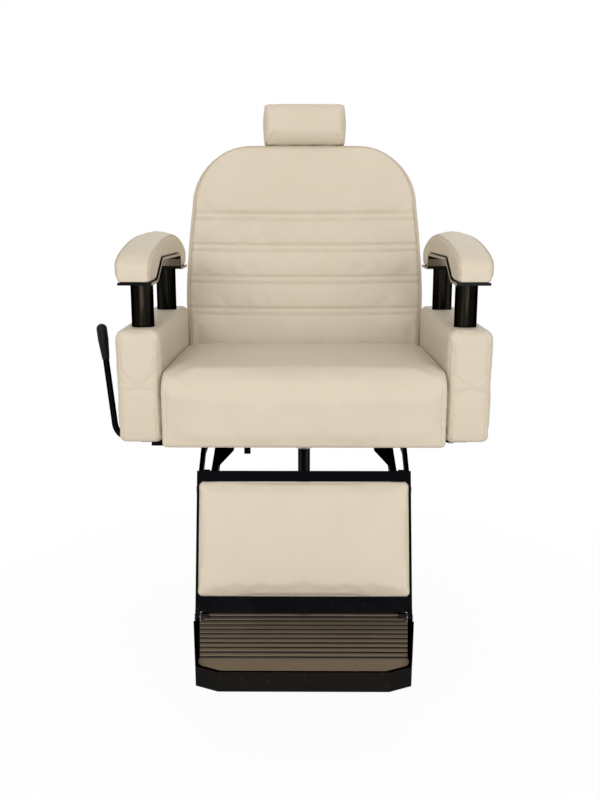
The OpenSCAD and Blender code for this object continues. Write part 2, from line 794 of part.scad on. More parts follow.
shell_inset = 2;
module back_shell() {
    color(plastic) difference() {
        back_slab(shell_inset, shell_n, shell_d);
        back_slab(shell_inset + shell_t, shell_n - cut, shell_d - shell_t + cut);
        for (s = [-1, 1]) mirrored(s) on_back()
            block(crank_x - weld, shell_n - cut, -back_tail - shell_t, crank_t + 2 * weld,
                shell_d - shell_t, 3 * shell_t);
        on_back() block(-stem_w / 2 - socket_wall, stem_n - socket_wall - seat_clear - stem_t / 2,
            back_h - 3 * shell_t, stem_w + 2 * socket_wall, stem_t + 2 * socket_wall + 2 * seat_clear,
            4 * shell_t);
    }
}

// Headrest: a socket behind the board, a flat stem, a hinge and a padded block
module headrest_socket() {
    w = stem_w + 2 * socket_wall;
    d = stem_t + 2 * socket_wall;
    color(black_metal) on_back() difference() {
        block(-w / 2, stem_n - d / 2, back_h - socket_l, w, d, socket_l);
        block(-stem_w / 2 - run_gap, stem_n - stem_t / 2 - run_gap, back_h - socket_l - cut,
            stem_w + 2 * run_gap, stem_t + 2 * run_gap, socket_l + 2 * cut);
    }
}

stem_tail = 30;
hinge_r = 7;
hinge_l = 22;
head_pin_r = 3;
module headrest_stem() {
    color(black_metal) on_back() difference() {
        union() {
            block(-stem_w / 2, stem_n - stem_t / 2, back_h - head_travel - stem_tail, stem_w, stem_t,
                head_travel + stem_tail + head_pivot_s - back_h - hinge_r);
            rod_x(-hinge_l / 2, stem_n, head_pivot_s, hinge_l, hinge_r);
            block(-hinge_l / 2, stem_n - stem_t / 2, head_pivot_s - 2 * hinge_r, hinge_l, stem_t,
                2 * hinge_r);
        }
        rod_x(-hinge_l, stem_n, head_pivot_s, 2 * hinge_l, head_pin_r);
    }
}

module headrest_pin() {
    color(steel) on_back() rod_x(-hinge_l, stem_n, head_pivot_s, 2 * hinge_l, head_pin_r);
}

head_plate_t = 5;
head_plate_n = head_d - head_front;
head_plate_up = 12;
module headrest_plate() {
    color(black_metal) on_back() difference() {
        union() {
            block(-head_w * 0.35, head_plate_n, head_s + head_plate_up, head_w * 0.7, head_plate_t,
                head_h * 0.6);
            for (s = [-1, 1]) mirrored(s) {
                rod_x(hinge_l / 2 + cut, stem_n, head_pivot_s, hinge_l / 2 - cut, hinge_r);
                block(hinge_l / 2 + cut, head_plate_n, head_pivot_s, hinge_l / 2 - cut,
                    stem_n - head_plate_n, hinge_r * 2);
            }
        }
        rod_x(-hinge_l - cut, stem_n, head_pivot_s, 2 * hinge_l + 2 * cut, head_pin_r + run_gap);
    }
}

head_mids = 3;
head_edge = 14;
head_round = 22;
head_crown = 3;
module headrest_pad() {
    color(cream) on_back() loft([for (st = stations(head_w, head_edge, head_mids)) let (
        t = st[0] / head_w,
        loop = slice(head_h / 2 - st[1] * 0.4, -head_plate_n + st[1] * 0.3, head_front - st[1], head_round,
            head_crown * swell(t), 0))
        [for (p = loop) [st[0] - head_w / 2, -p[1], head_s + head_h / 2 - p[0]]]]);
}

// Leg rest frame, with its side rails, the ears of the footplate and the cranks that the links push
leg_bar_d = 14;
rail_d = 19;
module leg_frame() {
    front = -leg_front;
    bars = leg_w / 2;
    ear_top = [front + ear_r + weld, leg_over - leg_l + 2 * ear_r];
    color(black_metal) difference() {
        union() {
            on_leg() {
                block(-bars, front, leg_over - leg_bar, 2 * bars, leg_bar_d, leg_bar);
                block(-bars, front, leg_over - leg_l, 2 * bars, leg_bar_d, leg_bar_low);
                for (s = [-1, 1]) mirrored(s) {
                    block(bars - rail_t, front, leg_over - leg_l, rail_t, rail_d, leg_l);
                    plate_yz(bars - rail_t, rail_t) strap([ear_top, [-foot_ahead, -foot_drop]], ear_r);
                }
            }
            for (s = [-1, 1]) mirrored(s) {
                plate_yz(crank_x, crank_t) {
                    strap([[leg_y, leg_z], [leg_y, leg_z] + crank], crank_end_r);
                    translate([leg_y, leg_z]) circle(crank_end_r + weld);
                }
                on_leg() plate_yz(crank_x + cut / 2, crank_t - cut)
                    bar([0, 0], [-leg_front + leg_bar_d / 2, leg_over - leg_bar / 2], leg_bar / 2 - weld);
            }
        }
        for (s = [-1, 1]) mirrored(s) {
            rod_x(crank_x - cut, leg_y, leg_z, crank_t + 2 * cut, pin_d / 2 + run_gap);
            rod_x(crank_x - cut, leg_y + crank_back, leg_z - crank_down, crank_t + 2 * cut, pin_d / 2);
            on_leg() rod_x(bars - rail_t - cut, -foot_ahead, -foot_drop, rail_t + 2 * cut, foot_pin_d / 2);
        }
    }
}

leg_board_t = 8;
leg_board_gap = 1;
module leg_board() {
    w = leg_w - 2 * rail_t - 2 * leg_board_gap;
    color(plywood) on_leg() block(-w / 2, -leg_front, leg_over - leg_l + leg_bar_low + leg_board_gap,
        w, leg_board_t, leg_l - leg_bar - leg_bar_low - 2 * leg_board_gap);
}

leg_pad_edge = 9;
leg_pad_mids = 3;
leg_pad_crown = 4;
leg_pad_draw = 0.8;
module leg_pad() {
    l = leg_l - leg_bar - leg_bar_low - 2 * seat_clear;
    w = leg_w - 2 * leg_board_gap - rail_t;
    color(cream) on_leg() loft([for (st = stations(l, leg_pad_edge, leg_pad_mids)) let (
        t = st[0] / l,
        loop = slice(w / 2 - st[1], leg_front + seat_clear, leg_front + leg_pad_t - leg_pad_crown - st[1],
            leg_pad_edge, leg_pad_crown * swell(t), leg_pad_draw))
        [for (p = loop) [p[0], -p[1], leg_over - leg_bar - seat_clear - l + st[0]]]]);
}

// Links: bent flat bars from the back's cranks to the leg rest's cranks
module link(side) {
    a = [leg_y, leg_z] + crank;
    b = [recline_y, recline_z] + crank;
    knee = [leg_y + link_knee, b[1] - link_sag];
    color(black_metal) mirrored(side) difference() {
        plate_yz(link_x, link_t) {
            strap([a, knee, b], link_h / 2);
        }
        rod_x(link_x - cut, a[0], a[1], link_t + 2 * cut, pin_d / 2 + seat_clear);
        rod_x(link_x - cut, b[0], b[1], link_t + 2 * cut, pin_d / 2 + run_gap);
    }
}
module link_left() { link(1); }
module link_right() { link(-1); }

module link_pins(y, z) {
    color(steel) for (s = [-1, 1]) mirrored(s)
        rod_x(crank_x, y, z, link_x + link_t - crank_x + weld, pin_d / 2);
}
module link_pins_front() { link_pins(leg_y + crank_back, leg_z - crank_down); }
module link_pins_rear() { link_pins(recline_y + crank_back, recline_z - crank_down); }

// Footplate: a flat deck with a rim, ribs, a hollow underside and two knuckles
foot_wall = 5;
knuckle_l = 14;
foot_play = 2;
foot_nose = 38;
foot_nose_l = 19;
ear_clear = 6;
foot_in = leg_w / 2 - rail_t - foot_play;
function foot_outline(inset) = let (
    f = foot_w_front / 2 - inset,
    r = foot_w_rear / 2 - inset,
    k = foot_in - inset,
    reach = foot_reach - inset,
    right = [[k, foot_behind - inset], [k, -ear_r - foot_play], [r, -ear_r - ear_clear],
        [f, foot_nose_l - reach], [f - foot_nose, -reach]])
    concat(right, [for (i = [1 : len(right)]) let (p = right[len(right) - i]) [-p[0], p[1]]]);

rim_h = 3;
rim_w = 5;
deck_round = 16;
first_rib = 25;
module footplate() {
    top = -deck_low;
    color(black_metal) on_foot() difference() {
        union() {
            translate([0, 0, top - foot_h]) linear_extrude(foot_h) polygon(foot_outline(0));
            difference() {
                translate([0, 0, top - deck_t]) linear_extrude(deck_t + rim_h) polygon(foot_outline(0));
                translate([0, 0, top]) linear_extrude(2 * rim_h) offset(r = deck_round)
                    offset(delta = -deck_round) polygon(foot_outline(rim_w));
                block(-foot_w_rear, -ear_r - ear_clear, top, 2 * foot_w_rear, 3 * foot_behind, 2 * rim_h);
            }
            for (i = [0 : rib_count - 1]) let (
                y = first_rib - i * rib_step,
                hw = y > -ear_r - rib_foot ? foot_in - ear_clear
                    : foot_w_rear / 2 - 2 * rim_w + (foot_w_front - foot_w_rear) / 2 * -y / foot_reach)
                plate_yz(-hw, 2 * hw) polygon([[y - rib_foot / 2, top - cut], [y + rib_foot / 2, top - cut],
                    [y + rib_crest / 2, top + rib_h], [y - rib_crest / 2, top + rib_h]]);
            for (s = [-1, 1]) mirrored(s)
                rod_x(foot_in - knuckle_l, 0, 0, knuckle_l, knuckle_r);
        }
        difference() {
            translate([0, 0, top - foot_h - cut]) linear_extrude(foot_h - deck_t + cut)
                polygon(foot_outline(foot_wall));
            for (s = [-1, 1]) mirrored(s)
                rod_x(foot_in - knuckle_l, 0, 0, knuckle_l, knuckle_r);
        }
        for (s = [-1, 1]) mirrored(s)
            rod_x(foot_in - knuckle_l / 2, 0, 0, knuckle_l, foot_pin_d / 2 + run_gap);
    }
}

module foot_pin(side) {
    color(steel) mirrored(side) on_foot()
        rod_x(foot_in - knuckle_l / 2 + cut, 0, 0, knuckle_l / 2 + rail_t + foot_play + cut, foot_pin_d / 2);
}
module foot_pin_left() { foot_pin(1); }
module foot_pin_right() { foot_pin(-1); }

// Lever: a cross shaft under the right box, bent up beside it, with a grip
module lever_shaft() {
    r = lever_d / 2;
    color(black_metal) translate([0, -lever_ahead, lever_z]) {
        rod_x(-lever_turn_x, 0, 0, lever_turn_x - lever_inner_x, r);
        translate([-lever_inner_x - 2 * r, 0, 0]) plate_yz(0, 2 * r)
            strap([[0, 0], [0, -release_l]], release_r);
    }
}

// The rod's bend and its straight length, as [x, z, angle] rings from the shaft's end
lever_sweep = 90 - lever_lean;
lever_sides = 16;
bend_rings = 9;
lever_top = [-lever_turn_x - lever_bend * sin(lever_sweep), lever_z + lever_bend * (1 - cos(lever_sweep))];
module lever_rod() {
    r = lever_d / 2;
    rings = concat(
        [for (i = [0 : bend_rings]) let (a = lever_sweep * i / bend_rings)
            [-lever_turn_x - lever_bend * sin(a), lever_z + lever_bend * (1 - cos(a)), a]],
        [[lever_top[0] - lever_l * sin(lever_lean), lever_top[1] + lever_l * cos(lever_lean), lever_sweep]]);
    color(black_metal) loft([for (q = rings)
        [for (i = [0 : lever_sides - 1]) let (t = 360 * i / lever_sides, u = r * cos(t))
            [q[0] + u * sin(q[2]), -lever_ahead + r * sin(t), q[1] + u * cos(q[2])]]]);
}

grip_wall = 1;
module lever_grip() {
    r = grip_d / 2;
    low = lever_d / 2 + grip_wall;
    color(plastic) translate([lever_top[0], -lever_ahead, lever_top[1]])
        rotate([0, -lever_lean, 0]) translate([0, 0, lever_l])
        rotate_extrude() polygon(concat([[0, 0], [low, 0], [r, grip_l * 0.55]],
            arc([0, grip_l - r], r, 0, 90, 8)));
}

bush_w = 30;
bush_h = 22;
bush_ahead = 34;
bush_out = 3;
bush_inner = 22;
module lever_bushes() {
    color(black_metal) for (x = [box_in + bush_out, lever_inner_x + bush_inner]) difference() {
        block(-x - bush_w, front_bar_y - bush_ahead, lever_z - bush_h / 2, bush_w, bush_ahead, bush_h);
        rod_x(-x - bush_w - cut, -lever_ahead, lever_z, bush_w + 2 * cut, lever_d / 2 + run_gap);
    }
}

// Locking gas spring: bracket, tube, rod, pin and the valve that the lever pushes
valve_clear = 0.5;
valve_bore = 18;
valve_y = -lever_ahead + release_r + valve_clear;
bracket_wall = 10;
module lock_bracket() {
    color(black_metal) difference() {
        union() {
            block(-lock_x - lock_r, front_bar_y, frame_low - plate_t, 2 * lock_r,
                lock_front_y - front_bar_y, plate_t);
            block(-lock_x - lock_r, lock_front_y - bracket_wall, lock_z - lock_r, 2 * lock_r, bracket_wall,
                frame_low - lock_z + lock_r);
        }
        rod_y(-lock_x, lock_front_y - bracket_wall - cut, lock_z, bracket_wall + 2 * cut, valve_r + run_gap);
    }
}

rod_hold = 35;
rod_room = 30;
rod_start = lock_rear_y - rod_hold;
module lock_tube() {
    color(steel) difference() {
        rod_y(-lock_x, lock_front_y, lock_z, lock_rear_y - lock_front_y, lock_r);
        rod_y(-lock_x, rod_start - rod_room, lock_z, rod_hold + rod_room + cut, lock_rod_r + run_gap);
        rod_y(-lock_x, lock_front_y - cut, lock_z, valve_bore, valve_r + run_gap);
    }
}

slot_down = 2.6;
slot_up = 2;
module lock_rod() {
    end_y = recline_y + crank_back;
    color(steel) difference() {
        union() {
            rod_y(-lock_x, rod_start, lock_z, end_y - rod_start - eye_r + weld, lock_rod_r);
            rod_x(-lock_x - eye_t / 2, end_y, lock_z, eye_t - 2 * cut, eye_r);
        }
        plate_yz(-lock_x - eye_t, 2 * eye_t)
            strap([[end_y, lock_z - slot_down], [end_y, lock_z + slot_up]],
                pin_d / 2 + 2 * seat_clear + strap_step);
    }
}

module lock_pin() {
    color(steel)
        rod_x(-lock_x - eye_t / 2, recline_y + crank_back, lock_z, eye_t + crank_t - cut, pin_d / 2);
}

valve_in = 5;
valve_l = lock_front_y - valve_y + valve_in;
module lock_valve() { color(steel) rod_y(-lock_x, valve_y, lock_z, valve_l, valve_r); }

lift_ram();
thrust_collar();
thrust_washer();
swivel_hub();
mount_plate();
plate_bolts();
seat_frame();
seat_board();
seat_bolts();
seat_cushion();
side_core_left();
side_core_right();
side_pad_left();
side_pad_right();
arm_post_front_left();
arm_post_front_right();
arm_post_rear_left();
arm_post_rear_right();
arm_plate_left();
arm_plate_right();
arm_pad_left();
arm_pad_right();
arm_screws();
leg_arm_left();
leg_arm_right();
leg_pin_left();
leg_pin_right();
shaft_bracket_left();
shaft_bracket_right();
recline_shaft();
back_frame();
back_board();
back_cushion();
back_shell();
headrest_socket();
headrest_stem();
headrest_pin();
headrest_plate();
headrest_pad();
leg_frame();
leg_board();
leg_pad();
link_left();
link_right();
link_pins_front();
link_pins_rear();
footplate();
foot_pin_left();
foot_pin_right();
lever_shaft();
lever_rod();
lever_grip();
lever_bushes();
lock_bracket();
lock_tube();
lock_rod();
lock_crank();
lock_pin();
lock_valve();
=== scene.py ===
import json
import math

import bmesh
import bpy
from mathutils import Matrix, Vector
from mathutils.bvhtree import BVHTree
from mathutils.kdtree import KDTree


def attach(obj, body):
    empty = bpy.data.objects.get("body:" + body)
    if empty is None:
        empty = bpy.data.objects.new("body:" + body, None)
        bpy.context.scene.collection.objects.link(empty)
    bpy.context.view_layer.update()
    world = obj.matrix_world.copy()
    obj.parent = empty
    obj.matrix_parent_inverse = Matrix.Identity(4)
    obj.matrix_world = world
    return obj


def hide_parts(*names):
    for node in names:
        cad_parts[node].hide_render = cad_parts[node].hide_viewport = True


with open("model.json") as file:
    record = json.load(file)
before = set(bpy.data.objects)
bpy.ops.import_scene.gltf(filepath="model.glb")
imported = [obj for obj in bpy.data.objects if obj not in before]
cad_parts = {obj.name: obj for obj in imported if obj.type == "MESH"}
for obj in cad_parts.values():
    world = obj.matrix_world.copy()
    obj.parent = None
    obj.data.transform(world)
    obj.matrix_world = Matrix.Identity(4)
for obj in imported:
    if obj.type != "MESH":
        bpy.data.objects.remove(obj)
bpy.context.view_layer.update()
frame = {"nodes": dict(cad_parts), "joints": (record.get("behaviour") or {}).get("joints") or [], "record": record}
print("frame loaded:", len(frame["nodes"]), "nodes")

scene = bpy.context.scene
scene.view_settings.view_transform = "Standard"


# Places of the leaning parts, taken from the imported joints

joints = {joint["name"]: joint for joint in frame["joints"]}
legPoint = Vector(joints["leg_swing"]["pos_m"])
slideAxis = Vector(joints["headrest_slide"]["axis"])
backLean = math.atan2(slideAxis.y, slideAxis.z)

build = {
    "backFoot": (0, 0.218, 0.404),  # where the seat's top meets the backrest's face
    "legTilt": math.radians(18.4),
    "cornerSteps": 6,
}


# x across, n behind the backrest's face, s up along its lean.
def onBack(x, n, s):
    foot = Vector(build["backFoot"])
    return foot + Vector((x, n * math.cos(backLean) + s * math.sin(backLean),
                          s * math.cos(backLean) - n * math.sin(backLean)))


# x across, n in front of the leg rest's hinge plane, s up along the leg rest.
def onLeg(x, n, s):
    tilt = build["legTilt"]
    return legPoint + Vector((x, s * math.sin(tilt) - n * math.cos(tilt),
                              s * math.cos(tilt) + n * math.sin(tilt)))


# Closed grids: a list of equal loops joined into a skin, with a fan at each end

def makeGrid(name, loops):
    rows, columns = len(loops), len(loops[0])
    points = [p for loop in loops for p in loop]
    points += [sum(loops[0], Vector()) / columns, sum(loops[-1], Vector()) / columns]
    faces = []
    for i in range(rows - 1):
        for j in range(columns):
            k = (j + 1) % columns
            faces.append((i * columns + j, i * columns + k, (i + 1) * columns + k, (i + 1) * columns + j))
    low, high = rows * columns, rows * columns + 1
    for j in range(columns):
        k = (j + 1) % columns
        faces.append((k, j, low))
        faces.append(((rows - 1) * columns + j, (rows - 1) * columns + k, high))
    mesh = bpy.data.meshes.new(name)
    mesh.from_pydata([tuple(p) for p in points], [], faces)
    mesh.update()
    work = bmesh.new()
    work.from_mesh(mesh)
    bmesh.ops.recalc_face_normals(work, faces=work.faces)
    work.to_mesh(mesh)
    work.free()
    mesh.polygons.foreach_set("use_smooth", [True] * len(mesh.polygons))
    piece = bpy.data.objects.new(name, mesh)
    scene.collection.objects.link(piece)
    return piece


def arcPoints(center, radius, start, end, steps):
    turns = [math.radians(start + (end - start) * i / steps) for i in range(steps + 1)]
    return [(center[0] + radius * math.cos(a), center[1] + radius * math.sin(a)) for a in turns]


# One closed slice of a pad: crowned top, drawn-in sides. Returns points from the low right corner.
def padSlice(half, low, high, radius, crown, drawn, topSteps, sideSteps, bottomSteps, lowRadius=None):
    r = max(0.0005, min(radius, (high - low) / 2.02, half / 2))
    b = max(0.0004, min(r if lowRadius is None else lowRadius, (high - low) / 2.02))
    steps = build["cornerSteps"]
    points = arcPoints((half - b, low + b), b, -90, 0, steps)
    for i in range(1, sideSteps):
        t = i / sideSteps
        points.append((half - drawn * math.sin(math.pi * t), low + b + (high - r - low - b) * t))
    points += arcPoints((half - r, high - r), r, 0, 90, steps)
    for i in range(1, topSteps):
        t = 1 - 2 * i / topSteps
        points.append(((half - r) * t, high + crown * (1 - t * t)))
    points += arcPoints((r - half, high - r), r, 90, 180, steps)
    for i in range(1, sideSteps):
        t = 1 - i / sideSteps
        points.append((drawn * math.sin(math.pi * t) - half, low + b + (high - r - low - b) * t))
    points += arcPoints((b - half, low + b), b, 180, 270, steps)
    for i in range(1, bottomSteps):
        t = 2 * i / bottomSteps - 1
        points.append(((half - b) * t, low))
    return points


# Places along a pad whose ends round off, as (place, how far the skin draws in).
def padStations(length, radius, middles, turns=6):
    ends = [(radius * (1 - math.cos(a)), radius * (1 - math.sin(a)))
            for a in (math.radians(90 * i / turns) for i in range(turns + 1))]
    flat = [(radius + (length - 2 * radius) * i / (middles + 1), 0.0) for i in range(1, middles + 1)]
    return ends + flat + [(length - place, inset) for place, inset in reversed(ends)]


def swell(t):
    return max(0.0, math.sin(math.pi * min(1.0, max(0.0, t)))) ** 0.5


def smoothStep(t):
    t = max(0.0, min(1.0, t))
    return t * t * (3 - 2 * t)


# Cloth: the skin is inflated while its seams are held, then it keeps the shape

cloth = {"pressure": 4.0, "frames": 20, "slack": -0.012, "quality": 6, "mass": 0.25, "stretch": 12,
         "shear": 5, "bend": 0.6}


# held(index) says whether a vertex is sewn or rests on something. The result is applied to the mesh.
def inflate(piece, held, limit, pressure=cloth["pressure"]):
    mesh = piece.data
    group = piece.vertex_groups.new(name="held")
    group.add([v.index for v in mesh.vertices if held(v.index)], 1.0, "REPLACE")
    rest = [v.co.copy() for v in mesh.vertices]
    modifier = piece.modifiers.new("Cloth", "CLOTH")
    settings = modifier.settings
    settings.quality = cloth["quality"]
    settings.mass = cloth["mass"]
    settings.use_pressure = True
    settings.uniform_pressure_force = pressure
    settings.tension_stiffness = settings.compression_stiffness = cloth["stretch"]
    settings.shear_stiffness = cloth["shear"]
    settings.bending_stiffness = cloth["bend"]
    settings.shrink_min = cloth["slack"]
    settings.vertex_group_mass = "held"
    settings.effector_weights.gravity = 0
    modifier.collision_settings.use_collision = False
    modifier.point_cache.frame_start = 1
    modifier.point_cache.frame_end = cloth["frames"]
    for number in range(1, cloth["frames"] + 1):
        scene.frame_set(number)
    depsgraph = bpy.context.evaluated_depsgraph_get()
    shaped = bpy.data.meshes.new_from_object(piece.evaluated_get(depsgraph))
    moved = [v.co.copy() for v in shaped.vertices]
    piece.modifiers.remove(modifier)
    for v, start, end in zip(mesh.vertices, rest, moved):
        step = end - start
        if step.length > limit:
            step *= limit / step.length
        v.co = start + step
    bpy.data.meshes.remove(shaped)
    piece.vertex_groups.clear()
    scene.frame_set(1)
    mesh.update()


# Nodes: one made with its settings and values, and links written as rows

def addNode(nodes, kind, values=None, **settings):
    node = nodes.new(kind)
    for name, value in settings.items():
        setattr(node, name, value)
    for name, value in (values or {}).items():
        node.inputs[name].default_value = value
    return node


def wire(link, *rows):
    for source, output, target, entry in rows:
        link(source.outputs[output], target.inputs[entry])


def addSockets(tree, inputs, outputs):
    for label, kind, value in inputs:
        socket = tree.interface.new_socket(name=label, in_out="INPUT", socket_type=kind)
        if value is not None:
            socket.default_value = value
    for label, kind in outputs:
        tree.interface.new_socket(name=label, in_out="OUTPUT", socket_type=kind)


# Geometry Nodes: welts and stitches that follow a path

def newTree(name, inputs):
    tree = bpy.data.node_groups.new(name, "GeometryNodeTree")
    addSockets(tree, [("Path", "NodeSocketGeometry", None), *inputs, ("Finish", "NodeSocketMaterial", None)],
               [("Mesh", "NodeSocketGeometry")])
    nodes = tree.nodes
    return (tree, nodes, tree.links.new, nodes.new("NodeGroupInput"), nodes.new("GeometryNodeMeshToCurve"),
            nodes.new("GeometryNodeSetMaterial"), nodes.new("NodeGroupOutput"))


def weltTree():
    tree, nodes, link, start, curve, finish, end = newTree(
        "weltAlongPath", [("Radius", "NodeSocketFloat", 0.001), ("Spacing", "NodeSocketFloat", 0.004)])
    even = addNode(nodes, "GeometryNodeResampleCurve", mode="LENGTH")
    ring = addNode(nodes, "GeometryNodeCurvePrimitiveCircle", {"Resolution": 8})
    skin = addNode(nodes, "GeometryNodeCurveToMesh", {"Fill Caps": True})
    smooth = nodes.new("GeometryNodeSetShadeSmooth")
    wire(link, (start, "Path", curve, "Mesh"), (curve, "Curve", even, "Curve"),
         (start, "Spacing", even, "Length"), (start, "Radius", ring, "Radius"),
         (even, "Curve", skin, "Curve"), (ring, "Curve", skin, "Profile Curve"),
         (skin, "Mesh", smooth, "Geometry"), (smooth, "Geometry", finish, "Geometry"),
         (start, "Finish", finish, "Material"), (finish, "Geometry", end, "Mesh"))
    return tree


def stitchTree():
    tree, nodes, link, start, curve, finish, end = newTree(
        "stitchesAlongPath", [("Pitch", "NodeSocketFloat", 0.004), ("Length", "NodeSocketFloat", 0.0028),
                              ("Thread", "NodeSocketFloat", 0.0003)])
    even = addNode(nodes, "GeometryNodeCurveToPoints", mode="LENGTH")
    thread = addNode(nodes, "GeometryNodeMeshCylinder", {"Vertices": 6})
    place = nodes.new("GeometryNodeInstanceOnPoints")
    smooth = nodes.new("GeometryNodeSetShadeSmooth")
    real = nodes.new("GeometryNodeRealizeInstances")
    wire(link, (start, "Path", curve, "Mesh"), (curve, "Curve", even, "Curve"),
         (start, "Pitch", even, "Length"), (start, "Thread", thread, "Radius"),
         (start, "Length", thread, "Depth"), (even, "Points", place, "Points"),
         (even, "Rotation", place, "Rotation"), (thread, "Mesh", place, "Instance"),
         (place, "Instances", real, "Geometry"), (real, "Geometry", smooth, "Geometry"),
         (smooth, "Geometry", finish, "Geometry"), (start, "Finish", finish, "Material"),
         (finish, "Geometry", end, "Mesh"))
    return tree


trees = {"welt": weltTree(), "stitches": stitchTree()}


# Builds one plain mesh from the paths with a tree, and puts it on a body
def followPaths(name, paths, tree, values, body):
    points, edges = [], []
    for path in paths:
        first = len(points)
        points += [tuple(p) for p in path]
        edges += [(first + i, first + i + 1) for i in range(len(path) - 1)]
    mesh = bpy.data.meshes.new(name + "Path")
    mesh.from_pydata(points, edges, [])
    piece = bpy.data.objects.new(name, mesh)
    scene.collection.objects.link(piece)
    modifier = piece.modifiers.new("Path", "NODES")
    modifier.node_group = trees[tree]
    for item in trees[tree].interface.items_tree:
        if item.item_type == "SOCKET" and item.in_out == "INPUT" and item.name in values:
            modifier[item.identifier] = values[item.name]
    bpy.context.view_layer.update()
    depsgraph = bpy.context.evaluated_depsgraph_get()
    plain = bpy.data.meshes.new_from_object(piece.evaluated_get(depsgraph))
    piece.modifiers.remove(modifier)
    piece.data = plain
    plain.name = name
    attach(piece, body)


# Shader groups that several finishes share

def newShaderGroup(name, inputs, outputs):
    tree = bpy.data.node_groups.new(name, "ShaderNodeTree")
    addSockets(tree, [("Vector", "NodeSocketVector", None), *inputs],
               [(label, "NodeSocketFloat") for label in outputs])
    nodes = tree.nodes
    return tree, nodes, tree.links.new, nodes.new("NodeGroupInput"), nodes.new("NodeGroupOutput")


# Leather grain: pebbled cells, fine pores and a slow unevenness of the foam under it
def leatherGrainGroup():
    tree, nodes, link, start, end = newShaderGroup(
        "leatherGrain", [("Cell Scale", "NodeSocketFloat", 900.0), ("Fold Scale", "NodeSocketFloat", 14.0),
                         ("Seed", "NodeSocketFloat", 0.0)], ("Height", "Shade", "Soil"))
    move = nodes.new("ShaderNodeVectorMath")
    cells = addNode(nodes, "ShaderNodeTexVoronoi", {"Smoothness": 0.35}, feature="SMOOTH_F1")
    pores = addNode(nodes, "ShaderNodeTexNoise", {"Scale": 2600.0, "Detail": 2.0})
    folds = addNode(nodes, "ShaderNodeTexNoise", {"Detail": 3.0, "Roughness": 0.45})
    porePart = addNode(nodes, "ShaderNodeMath", {1: 0.35}, operation="MULTIPLY")
    fine = addNode(nodes, "ShaderNodeMath", operation="ADD")
    wire(link, (start, "Vector", move, 0), (start, "Seed", move, 1), (move, 0, cells, "Vector"),
         (start, "Cell Scale", cells, "Scale"), (move, 0, pores, "Vector"), (move, 0, folds, "Vector"),
         (start, "Fold Scale", folds, "Scale"), (pores, "Fac", porePart, 0), (cells, "Distance", fine, 0),
         (porePart, 0, fine, 1), (fine, 0, end, "Height"), (cells, "Distance", end, "Shade"),
         (folds, "Fac", end, "Soil"))
    return tree


# Handling marks on metal: smudges that dull the polish, and hairline scratches
def metalWearGroup():
    tree, nodes, link, start, end = newShaderGroup(
        "metalWear", [("Smudge Scale", "NodeSocketFloat", 9.0), ("Scratch Scale", "NodeSocketFloat", 240.0)],
        ("Smudge", "Scratch", "Height"))
    smudge = addNode(nodes, "ShaderNodeTexNoise", {"Detail": 4.0, "Distortion": 0.6})
    stretch = addNode(nodes, "ShaderNodeMapping", {"Scale": (1.0, 0.06, 0.35)})
    hair = addNode(nodes, "ShaderNodeTexNoise", {"Detail": 5.0})
    sharp = addNode(nodes, "ShaderNodeMapRange", {"From Min": 0.62, "From Max": 0.74})
    wire(link, (start, "Vector", smudge, "Vector"), (start, "Smudge Scale", smudge, "Scale"),
         (start, "Vector", stretch, "Vector"), (stretch, "Vector", hair, "Vector"),
         (start, "Scratch Scale", hair, "Scale"), (hair, "Fac", sharp, "Value"),
         (smudge, "Fac", end, "Smudge"), (sharp, "Result", end, "Scratch"), (hair, "Fac", end, "Height"))
    return tree


groups = {"grain": leatherGrainGroup(), "wear": metalWearGroup()}


def newMaterial(name):
    material = bpy.data.materials.new(name)
    material.use_nodes = True
    nodes = material.node_tree.nodes
    place = nodes.new("ShaderNodeTexCoord")
    return material, nodes, material.node_tree.links.new, nodes["Principled BSDF"], place


def mixNode(nodes, link, factor, values):
    mix = addNode(nodes, "ShaderNodeMix", data_type="RGBA")
    for name, color in values.items():
        mix.inputs[name].default_value = (*color, 1)
    link(factor, mix.inputs["Factor"])
    return mix


def mixColor(nodes, link, factor, low, high):
    return mixNode(nodes, link, factor, {"A": low, "B": high})


def overlay(nodes, link, base, factor, color):
    mix = mixNode(nodes, link, factor, {"B": color})
    link(base, mix.inputs["A"])
    return mix.outputs["Result"]


def rangeOf(nodes, link, value, low, high, fromLow=0.0, fromHigh=1.0):
    node = addNode(nodes, "ShaderNodeMapRange", {"From Min": fromLow, "From Max": fromHigh, "To Min": low,
                                                 "To Max": high})
    link(value, node.inputs["Value"])
    return node.outputs["Result"]


def compared(nodes, link, value, operation, limit):
    node = addNode(nodes, "ShaderNodeMath", {1: limit}, operation=operation)
    link(value, node.inputs[0])
    return node.outputs[0]


def combined(nodes, link, operation, first, second):
    node = addNode(nodes, "ShaderNodeMath", operation=operation)
    link(first, node.inputs[0])
    link(second, node.inputs[1])
    return node.outputs[0]


def sized(nodes, link, value):
    node = addNode(nodes, "ShaderNodeMath", operation="ABSOLUTE")
    link(value, node.inputs[0])
    return node.outputs[0]


def addBump(nodes, link, shader, height, strength, distance):
    bump = addNode(nodes, "ShaderNodeBump", {"Strength": strength, "Distance": distance})
    link(height, bump.inputs["Height"])
    link(bump.outputs["Normal"], shader.inputs["Normal"])


cream = {"low": (0.60, 0.53, 0.43), "high": (0.665, 0.60, 0.50), "cell": 950.0, "bump": 0.22, "grain": 0.0004,
         "roughLow": 0.44, "roughHigh": 0.56, "shine": 0.42}


